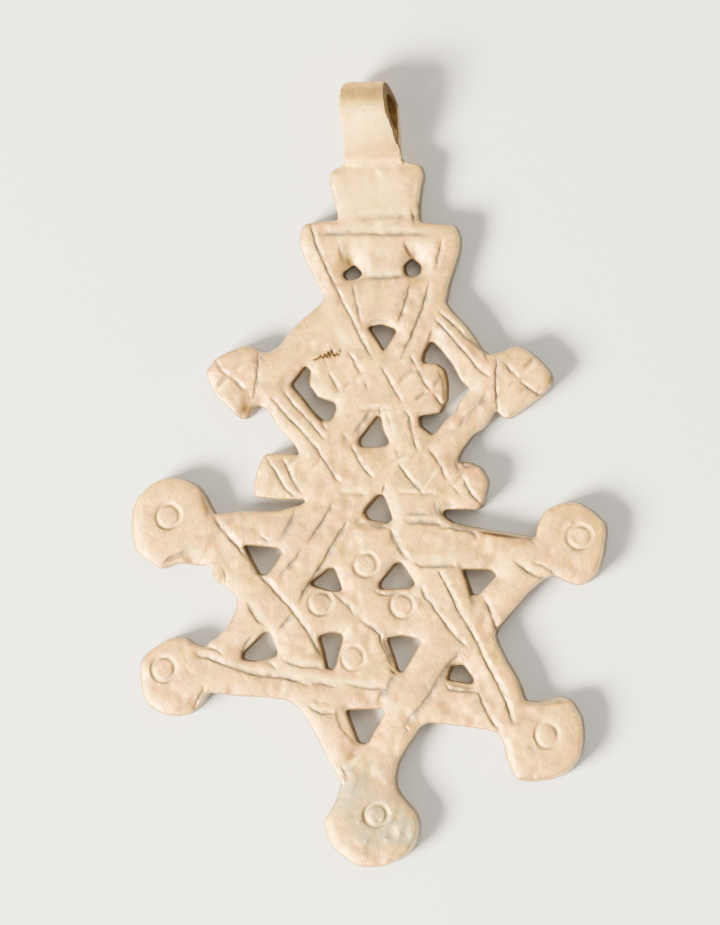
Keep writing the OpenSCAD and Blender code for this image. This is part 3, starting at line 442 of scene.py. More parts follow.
# Dark dirt, and painted shade in the small eyes' funnels and on some corners, edges and steps turned from the
# light
GRIME_AND_SHADE = [
    (-2.0, 20.25, 0.5, 0.75, 25, 0.7), (4.15, 20.95, 0.75, 0.3, 105, 0.7), (4.85, 20.1, 0.2, 0.6, 5, 0.4),
    (-2.45, 19.2, 0.25, 0.5, 0, 0.4), (-5.0, -8.7, 0.3, 0.8, -20, 0.3), (4.2, 24.6, 0.6, 0.2, 98, 0.85),
    (4.9, 25.3, 0.7, 0.15, 115, 0.5), (-3.85, 11.5, 0.7, 0.24, 12, 0.85), (-2.35, -28.4, 0.4, 0.2, 120, 0.6),
    (1.3, -1.5, 0.5, 0.2, 90, 0.4), (12.5, -5.78, 2.3, 0.13, -8, 0.7), (10.2, -5.7, 0.12, 0.4, 0, 0.5),
    (-0.4, -27, 0.5, 0.15, 40, 0.2), (7.1, 6.6, 0.5, 0.2, -45, 0.3), (2.3, -18.9, 0.5, 0.2, -40, 0.5),
    (-1.5, -26.8, 0.5, 0.25, 40, 0.3), (9.7, -11.2, 0.3, 1.2, 12, 0.12), (-16.2, -2.9, 0.3, 1.3, 15, 0.5),
    (-12.25, 6.15, 1.15, 0.75, 62, 0.85), (17.5, 9.1, 0.2, 0.5, -10, 0.7), (16.9, 7.5, 0.6, 0.2, 40, 0.6),
    (12.4, -15.4, 0.3, 1.6, 25, 0.3), (14.6, -20.6, 0.3, 1.6, 25, 0.3),
]
# Green tarnish
GREEN = [
    (-1.9, -30.8, 1.1, 2.0, -15, 0.8), (3.6, -34.0, 1.2, 1.8, -10, 0.95), (1.2, -34.6, 2.4, 1.2, 0, 0.75),
    (-1.2, -28.6, 1.6, 0.9, 0, 0.6), (1.9, -9.3, 0.4, 1, 10, 0.7), (4.3, 24.6, 0.4, 0.7, 0, 0.6),
    (-0.95, -4.5, 0.5, 0.5, 0, 0.6), (-2.1, -22.2, 0.6, 0.3, 0, 0.5), (-2.4, -28.3, 0.4, 0.5, 0, 0.8),
    (-12.1, -16.5, 0.5, 1, 25, 0.5), (6.6, -3.7, 0.4, 0.6, 30, 0.5), (-4, -12.5, 0.4, 0.7, 0, 0.4),
    (-3, -30, 0.5, 0.9, 0, 0.4), (-10.3, -6.1, 0.6, 0.3, -35, 0.5), (8.7, 1.4, 0.3, 0.5, 0, 0.5),
    (0.6, -32.4, 3.6, 3.4, 0, 0.4),
]


def cad_scale():
    """Width and height of the casting against the tables' own, from its packed box"""
    low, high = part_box("cross")
    return (high.x - low.x) / MM / DRAWN_WIDTH, (high.y - low.y) / MM / DRAWN_HEIGHT


def to_drawn(points):
    """X and Y of the points as the tables have them"""
    sx, sy = cad_scale()
    return points[:, 0] / sx + DRAWN_MIDDLE_X, points[:, 1] / sy


def nearest_on_path(path, x, y, reach):
    """For the points within reach of a path: indices, distance, side (+1 on its left) and place along it.

    The place is in millimetres from its start. The path's length and its normal at each point come last."""
    path = np.array(path, float)
    inside = np.flatnonzero(
        (x > path[:, 0].min() - reach) & (x < path[:, 0].max() + reach)
        & (y > path[:, 1].min() - reach) & (y < path[:, 1].max() + reach)
    )
    px, py = x[inside], y[inside]
    best = np.full(len(inside), np.inf)
    side = np.ones(len(inside))
    place = np.zeros(len(inside))
    normal = np.zeros((len(inside), 2))
    start = 0.0
    for a, b in zip(path[:-1], path[1:]):
        run = b - a
        length = float(np.hypot(*run))
        run = run / length
        t = np.clip((px - a[0]) * run[0] + (py - a[1]) * run[1], 0, length)
        dx, dy = px - a[0] - t * run[0], py - a[1] - t * run[1]
        away = np.hypot(dx, dy)
        nearer = away < best
        best[nearer] = away[nearer]
        side[nearer] = np.where(run[0] * dy[nearer] - run[1] * dx[nearer] >= 0, 1.0, -1.0)
        place[nearer] = start + t[nearer]
        normal[nearer] = (-run[1], run[0])
        start += length
    kept = best < reach
    return inside[kept], best[kept], side[kept], place[kept], start, normal[kept]


def waves(x, y, size, seed):
    """Smooth unevenness between about -1 and 1, with lumps of about the given size in millimetres"""
    turns = np.random.default_rng(seed)
    total = np.zeros_like(x)
    count = 9
    for _ in range(count):
        way = turns.uniform(0, 2 * math.pi)
        pitch = 2 * math.pi / (size * turns.uniform(1.3, 2.8))
        total += np.sin((x * math.cos(way) + y * math.sin(way)) * pitch + turns.uniform(0, 2 * math.pi))
    return total / math.sqrt(count)


def spots(rows, x, y):
    """Sum of soft oval spots at each point"""
    total = np.zeros_like(x)
    for cx, cy, long, wide, turn, strength in rows:
        c, s = math.cos(math.radians(turn)), math.sin(math.radians(turn))
        u = ((x - cx) * c + (y - cy) * s) / long
        v = ((y - cy) * c - (x - cx) * s) / wide
        total += strength * np.exp(-(u * u + v * v))
    return total


def smooth(value):
    """Turns a straight run from 0 to 1 into one that starts and ends gently"""
    value = np.clip(value, 0, 1)
    return value * value * (3 - 2 * value)


def bell(value):
    """1 in the middle, and soft tails on both sides"""
    return np.exp(-value ** 2)


def near_crack(x, y):
    """The points near the crack, their distance from it, and its half width there: it gapes at its middle"""
    at, away, _, place, length, _ = nearest_on_path(CRACK, x, y, 0.45)
    return at, away, CRACK_HALF + CRACK_GAPE * bell((place / length - 0.5) / 0.22)


def cut_strokes(x, y, left, drop, dark):
    """Cuts the graver's strokes, each with a steep side and a long slope, and fills them with tarnish"""
    lit = np.array([math.cos(math.radians(LIT_WAY)), math.sin(math.radians(LIT_WAY))])
    for row, (depth, steep, slope, path) in enumerate(CUTS):
        # Far enough for the worn cut, its waver and the tarnish beyond its ends
        reach = 1.35 * max(steep, slope) + 0.1
        at, away, side, place, length, normal = nearest_on_path(path, x, y, reach)
        # The hand wavers a little along the cut, and the graver lifts towards its ends
        waver = 0.025 * np.sin(place * 1.6 + row) + 0.012 * np.sin(place * 4.3 + 2 * row)
        waver += 0.03 * waves(x[at], y[at], 0.5, 7)
        signed = away * side * np.where(normal @ lit >= 0, 1.0, -1.0) + waver
        ends = np.clip(np.minimum(place, length - place) / min(LIFT, length / 2), 0, 1)
        pressed = 1 + 0.2 * np.sin(place * 1.7 + 2 * row) + 0.2 * waves(x[at], y[at], 0.6, 8)
        strength = left * depth * (0.35 + 0.65 * np.sqrt(ends)) * pressed
        steep, slope = WORN_WIDER * steep, WORN_WIDER * slope
        beyond = (place <= 0) | (place >= length)
        profile = np.where(signed < 0, smooth(1 + signed / steep), np.clip(1 - signed / slope, 0, 1) ** 1.5)
        profile = np.where(beyond, smooth(1 - away / steep), profile)
        drop[at] = np.maximum(drop[at], strength * profile)
        # Tarnish fills the cut's foot, lies wider in a wide cut, and thinly over all of it. It is also
        # painted wider where the cut runs along the light, as shade that the cut's walls cast too little of
        # there
        across = np.abs(normal @ lit)
        spread = (0.1 + 0.45 * steep) * (1.35 - 0.35 * across)
        deep = min(1.1, (depth / DARK_CUT) ** 1.3)
        broken = 1 + 0.15 * np.sin(place * 3.1 + row)
        shade = bell((signed + 0.01) / spread) * (0.25 + 0.75 * ends) * deep * broken
        shade = np.maximum(shade, THIN_TARNISH * profile * ends * deep)
        dark[at] = np.maximum(dark[at], np.where(beyond, 0.4 * bell(away / spread) * deep, shade))


def strike_rings(x, y, left, drop, dark, bright):
    """Strikes the ring stamps: a painted highlight makes a light band between dark arcs of painted shade on
    the walls turned from the light
    """
    uneven = 0.15 * waves(x, y, 0.7, 9)
    for cx, cy, radius, depth in RINGS:
        away = np.hypot(x - cx, y - cy)
        turn = np.arctan2(y - cy, x - cx)
        # The punch is a little out of round
        outline = 1 + 0.03 * np.sin(2 * turn + cx) + 0.015 * np.sin(3 * turn + cy)
        outline += 0.01 * np.sin(7 * turn + cx)
        wall = away - radius * outline
        struck = 1 + 0.25 * np.sin(2 * turn + 3 * cx) + uneven
        # It was struck a little harder on its lower left
        lower_left = np.cos(turn - math.radians(PUNCH_AND_LIGHT_WAY))
        groove = smooth(1.25 - np.abs(wall) / PUNCH_HALF)
        np.maximum(drop, left * depth * groove * (1 + 0.15 * lower_left) * struck, out=drop)
        # Painted shade lies on the outer wall on the lower left and on the inner wall on the upper right, the
        # walls turned from the light
        ring_shade = bell((wall - PUNCH_SHADE * lower_left) / PUNCH_SHADE_HALF)
        ring_shade *= 0.3 + 0.7 * np.abs(lower_left)
        np.maximum(dark, 4 * depth * ring_shade * struck, out=dark)
        np.maximum(dark, 0.1 * smooth(1.4 - away / radius), out=dark)
        # A painted highlight lies along the groove
        np.maximum(bright, 2.0 * depth * bell((wall + 0.08 * lower_left) / 0.2), out=bright)


def file_ledges(x, y, drop, dark, bright):
    """Cuts the ledges, each a step and then a slope, and files the bevels, which have no step"""
    for rows, step in ((LEDGES, LEDGE_STEP), (BEVELS, 0.0)):
        for depth, width, low, path in rows:
            _, _, wanted, _, _, _ = nearest_on_path(path, np.array([low[0]]), np.array([low[1]]), 9.0)
            at, away, side, place, length, _ = nearest_on_path(path, x, y, width + 1.1)
            ends = smooth(np.minimum(place, length - place) / min(0.9, length / 2.5)) * (side == wanted[0])
            fall = step * smooth(away / STEP_WIDTH) + (1 - step) * np.clip(away / width, 0, 1) ** 1.5
            drop[at] = np.maximum(drop[at], depth * fall * ends)
            # A painted shadow lies along each step's foot, and a painted highlight on the ledge beyond it
            foot = step * bell((away - 0.1) / 0.14) * min(1, depth / DARK_LEDGE)
            dark[at] = np.maximum(dark[at], foot * ends)
            bright[at] = np.maximum(bright[at], 0.5 * step * smooth(away / 0.35 - 0.3) * ends)


def scrape(x, y, drop, dark, bright):
    """Scrapes the face: a low burr stands along each scrape with a painted highlight on it, and a shallow
    gutter on its left with painted shade in it
    """
    for width, burr_and_highlight, gutter_and_shade, path in SCRAPES:
        at, away, side, place, length, _ = nearest_on_path(path, x, y, 3.2 * width)
        ends = smooth(np.minimum(place, length - place) / min(0.6, length / 2))
        burr = bell(away / width) * ends * (1 + 0.4 * np.sin(place * 4 + path[0][0]))
        gutter = bell((away * side - 1.4 * width) / (0.6 * width)) * ends
        bright[at] = np.maximum(bright[at], burr_and_highlight * burr)
        dark[at] = np.maximum(dark[at], gutter_and_shade * gutter)
        drop[at] += GUTTER_DEPTH * gutter_and_shade * gutter - BURR_HEIGHT * burr_and_highlight * burr


def carve(x, y, left):
    """How far the face was lowered at each point, how dark it is painted there by tarnish and painted shade,
    and how bright by rubbing and painted highlights.

    The given share of each cut's depth is left after wear."""
    drop, dark, bright = np.zeros_like(x), np.zeros_like(x), np.zeros_like(x)
    cut_strokes(x, y, left, drop, dark)
    strike_rings(x, y, left, drop, dark, bright)
    file_ledges(x, y, drop, dark, bright)
    at, away, half_width = near_crack(x, y)
    drop[at] = np.maximum(drop[at], CRACK_DEPTH * smooth(1 - away / (1.3 * half_width)))
    scrape(x, y, drop, dark, bright)
    drop += spots(DENTS, x, y)
    bright += spots(POLISH_AND_HIGHLIGHTS, x, y)
    return drop, dark, bright


def length_setting(name, description, default, low, high):
    """A length that a user can change, given here in millimetres"""
    return FloatProperty(
        name=name, description=description, default=default * MM, min=low * MM, max=high * MM, unit="LENGTH",
        precision=5)


class CrossWear(bpy.types.PropertyGroup):
    """How the casting was worked and worn"""
    grain: length_setting("Mesh grain", "Size of the remeshed casting's faces", 0.1, 0.08, 0.3)
    edge: length_setting("Edge rounding", "Radius that filing left on the face's edges", 0.22, 0.1, 0.6)
    back_edge: length_setting("Back edge rounding", "Radius of the edges on the back", 0.18, 0.05, 0.5)
    dome: length_setting("Doming", "How far the bars' edges are filed down across their width", 0.2, 0.0, 0.5)
    unevenness: length_setting("Unevenness", "How far the hand-filed face rises and falls", 0.06, 0.0, 0.15)
    cut_left: FloatProperty(
        name="Depth left", description="Share of each cut's depth that is left after wear", default=0.44,
        min=0.2, max=1.0, subtype="FACTOR")
    share: IntProperty(
        name="Triangle budget", description="Number of triangles that the casting keeps", default=197000,
        min=50000, max=199000)


def linear(hex_colour):
    """A '#rrggbb' colour turned to the linear values that shaders use"""
    values = [int(hex_colour[i:i + 2], 16) / 255 for i in (1, 3, 5)]
    return [v / 12.92 if v <= 0.04045 else ((v + 0.055) / 1.055) ** 2.4 for v in values] + [1.0]


def colour_setting(name, description, hex_colour):
    """A colour that a user can change"""
    return FloatVectorProperty(
        name=name, description=description, subtype="COLOR", size=4, min=0, max=1, default=linear(hex_colour))


class SilverTones(bpy.types.PropertyGroup):
    """Colours of the silver, of what lies on it, and of the painted light and shade"""
    warm: colour_setting("Warm silver", "Yellowish part of the face", "#F7C656")
    pink: colour_setting("Pinkish silver", "Pinkish part of the face, where copper shows", "#F8B65E")
    skin: colour_setting("Cast skin", "Darker clouds, specks and file strokes", "#B6925E")
    # Paler silver where wear rubs, and the colour of the painted highlights on lit slopes, ring bands, burrs,
    # ledges and the strap's front
    worn_and_highlight: colour_setting("Worn silver", "High spots that rubbing keeps bright", "#FFDE7A")
    # Painted light: the paler grey laid on edges turned from the light
    rim: colour_setting("Rim", "Greyer silver along the edges", "#E0D0AC")
    # Dirt in low spots, and painted shade that dims the edges towards the light
    dull: colour_setting("Dull silver", "Low spots under thin dirt", "#A4845E")
    # Tarnish in the cuts, and painted shade in the rings, at the ledges' steps and in the scrapes' gutters
    tarnish_and_shade: colour_setting("Tarnish", "What fills the cuts", "#847866")
    wall: colour_setting("Walls", "Unfinished walls of the piercings and the rim", "#847460")
    # Dark dirt in the crack, and painted shade in the small eyes' funnels, in the bail's eye, on its right
    # side and on edges turned from the light
    grime: colour_setting("Grime", "Dark dirt in the crack, the small eyes and the bail", "#2E2622")
    # Old rusty stains, and the painted shade on the strap's top
    ochre: colour_setting("Ochre stain", "Old rusty stains", "#A0764E")
    green: colour_setting("Green tarnish", "Grey-green corrosion of the copper", "#A39E7C")


def per_metre(size_mm):
    """Scale of a noise whose lumps are this many millimetres across"""
    return 1 / (size_mm * MM)


def add_node(tree, kind, inputs=None, **settings):
    """Adds a shader node with its settings, and sets its inputs or links them to sockets"""
    node = tree.nodes.new(kind)
    for name, value in settings.items():
        setattr(node, name, value)
    for key, value in (inputs or {}).items():
        if isinstance(value, bpy.types.NodeSocket):
            tree.links.new(value, node.inputs[key])
        else:
            node.inputs[key].default_value = value
    return node


def read_points(mesh):
    """A mesh's vertex places in millimetres"""
    points = np.empty(len(mesh.vertices) * 3, np.float32)
    mesh.vertices.foreach_get("co", points)
    return points.reshape(-1, 3).astype(float) / MM


def read_normals(mesh):
    """A mesh's vertex normals"""
    normals = np.empty(len(mesh.vertices) * 3, np.float32)
    mesh.vertex_normals.foreach_get("vector", normals)
    return normals.reshape(-1, 3)


def write_points(mesh, points):
    """Sets a mesh's vertex places from millimetres"""
    mesh.vertices.foreach_set("co", (points * MM).astype(np.float32).ravel())
    mesh.update()


def applied(piece, kind, **settings):
    """Adds a modifier to the piece and makes its result the piece's mesh"""
    modifier = piece.modifiers.new(kind, kind)
    for name, value in settings.items():
        setattr(modifier, name, value)
    graph = bpy.context.evaluated_depsgraph_get()
    shaped = bpy.data.meshes.new_from_object(piece.evaluated_get(graph))
    old = piece.data
    piece.modifiers.clear()
    piece.data = shaped
    bpy.data.meshes.remove(old)


def soften(piece, share, rounds):
    """Smooths the mesh, at each vertex as strongly as its share says"""
    group = piece.vertex_groups.new(name="soft")
    for i in np.flatnonzero(share > 0):
        group.add([int(i)], float(share[i]), "REPLACE")
    applied(piece, "SMOOTH", factor=0.5, iterations=rounds, vertex_group=group.name)
    piece.vertex_groups.clear()


def cast_blank(node, name):
    """A merged copy of the casting with its engraved lines and ledges filled up, ready to be carved finely"""
    mesh = node.data.copy()
    mesh.name = name
    shape = bmesh.new()
    shape.from_mesh(mesh)
    bmesh.ops.remove_doubles(shape, verts=shape.verts, dist=0.001 * MM)
    for vertex in shape.verts:
        if LEDGE_Z * MM < vertex.co.z < FACE_Z * MM and vertex.co.y < FOOT_Y * MM:
            vertex.co.z = FACE_Z * MM
    shape.to_mesh(mesh)
    shape.free()
    mesh.materials.clear()
    piece = bpy.data.objects.new(name, mesh)
    bpy.context.scene.collection.objects.link(piece)
    return piece


def edge_distance(points, normals):
    """Distance of each point from the casting's walls in the plane, and the way out to them"""
    plate = points[:, 1] < PLATE_END_Y
    wall = np.flatnonzero((np.abs(points[:, 2] - MIDDLE_Z) < 0.06) & (np.abs(normals[:, 2]) < 0.5) & plate)
    tree = kdtree.KDTree(len(wall))
    for i in wall:
        tree.insert((points[i, 0], points[i, 1], 0), int(i))
    tree.balance()
    away = np.full(len(points), 9.0)
    out = np.zeros((len(points), 2))
    for i in np.flatnonzero(plate):
        place, _, distance = tree.find((points[i, 0], points[i, 1], 0))
        away[i] = distance
        out[i] = (place[0] - points[i, 0], place[1] - points[i, 1])
    return away, out


def round_drop(away, radius):
    """Drop of a rounded edge at a distance from the wall"""
    inward = np.clip(away / radius, 0, 1)
    return radius * (1 - np.sqrt(np.clip(1 - (1 - inward) ** 2, 0, 1)))


def round_outline(piece):
    """Takes the corners off the plate's outline and piercings, as sand casting and filing do"""
    points = read_points(piece.data)
    soften(piece, np.clip((FOOT_Y - points[:, 1]) / FOOT_FADE, 0, 1), 12)


def work_the_face(piece, wear):
    """Carves, dents and rounds the blank's face, rounds its back edges, and makes its walls uneven"""
    points = read_points(piece.data)
    x, y = to_drawn(points)
    z = points[:, 2]
    away, out = edge_distance(points, read_normals(piece.data))
    way = np.arctan2(out[:, 1], out[:, 0])
    # Edges that look to the lower left or to the right are worn softer than the others
    soft = 1 + 0.35 * np.clip(np.cos(way - math.radians(LIT_WAY + 180)), 0, 1) + 0.2 * waves(x, y, 2.0, 3)
    soft += 0.4 * np.clip(np.cos(way), 0, 1)
    drop, _, _ = carve(x, y, wear.cut_left)
    drop = drop + round_drop(away, wear.edge / MM * soft)
    # The bars are filed a little round across, most on the left
    lean = 0.8 - 0.25 * np.cos(way)
    drop += wear.dome / MM * lean * np.clip(1 - away / 1.5, 0, 1) ** 2
    uneven = waves(x, y, 4.5, 1) + 0.7 * waves(x, y, 1.6, 2) + 0.35 * waves(x, y, 0.6, 4)
    uneven = wear.unevenness / MM * uneven
    plate = np.clip((FOOT_Y + FOOT_FADE - y) / FOOT_FADE, 0, 1)
    weight = np.clip((z - ROOT_Z) / (FACE_Z - ROOT_Z), 0, 1) * plate
    # The unevenness only makes hollows
    points[:, 2] = z - weight * np.clip(drop + np.maximum(uneven, 0), -HIGHEST, LOWEST)
    under = np.clip(1 - z / ROOT_Z, 0, 1)
    points[:, 2] += under * round_drop(away, wear.back_edge / MM) * plate
    points[:, 0] += WALL_WAVER * waves(x, y, 2.2, 5) * plate
    points[:, 1] += WALL_WAVER * waves(x, y, 2.2, 6) * plate
    write_points(piece.data, points)


def shape_bail(piece):
    """Gives the front of the bail's strap its long ramp and its slanting edges"""
    points = read_points(piece.data)
    normals = read_normals(piece.data)
    x, y = to_drawn(points)
    strap = (y > FOOT_Y + 0.2) & (np.abs(x - STRAP_X) < STRAP_HALF - 0.3)
    # The strap's front as it is, in slices of 0.1 mm, and as hammered: it keeps its place past the bend
    slices = np.arange(FOOT_Y + RISE, TOP_Y, 0.1)
    now = np.array([points[strap & (np.abs(y - at) < 0.12), 2].max() for at in slices])
    keep = smooth((slices - BEND_Y) / 0.6)
    hammered = np.interp(slices, *zip(*RAMP)) * (1 - keep) + now * keep
    around = bell(np.arange(-1.2, 1.25, 0.1) / 0.45)
    rounded = np.convolve(np.pad(hammered, 12, mode="edge"), around / around.sum(), mode="valid")
    keep = smooth((slices - BEND_Y) / 0.8)
    hammered = rounded * (1 - keep) + now * keep
    front = np.interp(y, slices, now)
    wanted = np.interp(y, slices, hammered)
    # The neck below the strap's first rise takes the ramp itself, and all else follows the front
    under = FACE_Z - 0.1
    above = y > FOOT_Y + RISE
    facing = (normals[:, 2] > 0.3) | (normals[:, 1] < -0.4)
    neck = above & (y < NECK_END_Y) & (points[:, 2] > FACE_Z - 0.08) & facing
    share = np.clip((points[:, 2] - under) / np.maximum(front - under, 0.1), 0, 1) * above
    points[:, 2] = np.where(neck, wanted, points[:, 2] + (wanted - front) * share ** 1.5)
    right = np.interp(y, *zip(*RIGHT_EDGE))
    left = np.interp(y, *zip(*LEFT_EDGE))
    points[:, 0] += right * smooth((points[:, 2] - 2.6) / 1.2) * np.clip(x / STRAP_HALF, 0, 1)
    points[:, 0] += left * np.clip(-x / STRAP_HALF, 0, 1)
    write_points(piece.data, points)


def soften_bail(piece):
    """Wears the edges of the bail's strap"""
    _, y = to_drawn(read_points(piece.data))
    soften(piece, np.clip((y - FOOT_Y - RISE) / FOOT_FADE, 0, 1), 10)


def lay_tarnish_and_painted_light(piece):
    """Stores where tarnish, stains, wear and painted light and shade lie on the finished mesh, as attributes
    for its material
    """
    mesh = piece.data
    points = read_points(mesh)
    normals = read_normals(mesh)
    up = normals[:, 2]
    x, y = to_drawn(points)
    z = points[:, 2]
    # What was done to the face ends in the walls, between 2 and 1 mm above the back
    front = np.clip(z - 1.0, 0, 1)
    _, dark, bright = carve(x, y, 1.0)
    bail = np.clip((y - FOOT_Y) / 0.6, 0, 1)
    plate = 1 - bail
    # The wall of the bail's eye and the strap's right side, turned from the light, are painted dark as shade,
    # and the rest of the strap's right-facing surface, its back leg's side among it, is painted a paler grey
    # as light
    flank = smooth((normals[:, 0] - 0.2) / 0.25)
    eye_shade = smooth((EYE_SHADE - np.hypot(y - EYE_Y, z - EYE_Z)) / 0.25)
    strap = np.maximum(eye_shade, flank * np.maximum(smooth((z - 1.3) / 0.4), smooth((y - 34.9) / 0.5)))
    strap_painted_light = bail * (1 - strap) * np.maximum(flank, smooth(normals[:, 0] / 0.15))
    # The plate's rounded edges that are turned from the light are painted a paler grey as light on their
    # shaded side, and those that look to the lower left, towards the light, are painted duller as shade that
    # dims their highlight
    lit = -(normals[:, 0] * math.cos(math.radians(LIT_WAY)) + normals[:, 1] * math.sin(math.radians(LIT_WAY)))
    lit = smooth(lit / 0.5)
    rounding = np.clip((0.94 - np.abs(up)) / 0.25, 0, 1)
    grime = spots(GRIME_AND_SHADE, x, y)
    at, away, half_width = near_crack(x, y)
    grime[at] = np.maximum(grime[at], bell(away / half_width))
    # The strap's top, where it turns over away from the light, is painted ochre-brown as shade
    bail_top_shade = 0.7 * np.clip((y - 35.7) / 1.6, 0, 1) * smooth(up / 0.4)
    fields = {
        "recess": np.clip(dark, 0, 1) * front * plate,
        # this also carries the painted shade on the bail's eye and right side
        "grime": np.clip(grime * front * plate + 0.87 * bail * strap, 0, 1),
        "polished": np.clip(bright, 0, 1) * front,
        "dull": np.clip(spots(DULL, x, y) + 0.5 * rounding * lit * plate, 0, 1) * front,
        "rim": np.maximum(rounding * (1 - lit) * plate, strap_painted_light),
        "side": np.clip((0.42 - np.abs(up)) / 0.3, 0, 1) * plate,
        "ochre": np.clip(spots(OCHRE, x, y) * front + bail_top_shade, 0, 1) * (1 - bail * strap),
        "green": np.clip(spots(GREEN, x, y) * front, 0, 1),
    }
    # How much of the light is scattered every way, by cast skin on walls, on the edges given the paler grey
    # of painted light, and by fine scratches and the painted highlights
    scatter = 0.3 * fields["side"] + 0.3 * fields["rim"] + 0.35 * fields["polished"]
    fields["matt"] = np.clip(scatter * (1 - fields["grime"]) * (1 - fields["recess"]), 0, 0.5)
    for name, values in fields.items():
        layer = mesh.attributes.new(name, "FLOAT", "POINT")
        layer.data.foreach_set("value", values.astype(np.float32))


# What lies over the bare silver, painted light and shade among it, first coat to last. Each row is the coat's
# tone, the attribute that says where it lies (none: everywhere), the size of its patches in millimetres
# (none: it follows the strokes), their detail, the noise at which a patch starts and is full, and the coat's
# least and most cover.
COATS = [
    # the alloy is uneven: copper-rich parts run into yellowish ones every few millimetres
    ("pink", None, 2.2, 5.0, 0.42, 0.58, 0.0, 1.0),
    ("green", None, 0.9, 4.0, 0.48, 0.7, 0.0, 0.4),
    # clouds a millimetre wide, and specks that the mould's sand left
    ("skin", None, 1.6, 4.0, 0.42, 0.68, 0.0, 0.7),
    ("skin", None, 0.45, 3.0, 0.45, 0.66, 0.0, 0.55),
    ("skin", None, None, 0.0, 0.48, 0.7, 0.0, 0.25),
    # dirt in low spots with painted shade on the edges towards the light, and what rubbing keeps clean with
    # the painted highlights
    ("dull", "dull", 0.8, 3.0, 0.25, 0.6, 0.4, 0.8),
    ("worn_and_highlight", "polished", 0.8, 3.0, 0.3, 0.65, 0.55, 0.95),
    # painted light: a paler grey on the edges turned from the light, and on the strap's right side outside
    # its painted shade
    ("rim", "rim", 0.5, 3.0, 0.3, 0.6, 0.5, 0.85),
    # tarnish, broken up finely in the cuts with painted shade in the rings, at the ledges' steps and in the
    # scrapes' gutters, and on the walls
    ("tarnish_and_shade", "recess", 0.45, 3.0, 0.25, 0.6, 0.6, 0.95),
    ("wall", "side", 0.45, 3.0, 0.25, 0.6, 0.85, 1.0),
    # stains with painted shade on the strap's top, and dirt over all with painted shade in the small eyes'
    # funnels, in the bail's eye and on its right side
    ("ochre", "ochre", 0.8, 4.0, 0.3, 0.65, 0.3, 1.0),
    ("green", "green", 0.8, 4.0, 0.3, 0.65, 0.3, 1.0),
    ("grime", "grime", 0.3, 3.0, 0.25, 0.6, 0.97, 1.0),
]
# File strokes: their spacing in millimetres, how many times as long they are, their two main ways in degrees,
# and the size of the regions that run one way or the other
STROKE = 0.2
STROKE_LENGTH = 7
STROKE_WAYS = (100, -52)
STROKE_REGION = 5.0
# Strokes and sand grain stand about this high in millimetres, and the grains are this far apart
RELIEF = 0.04
GRIT = 0.3


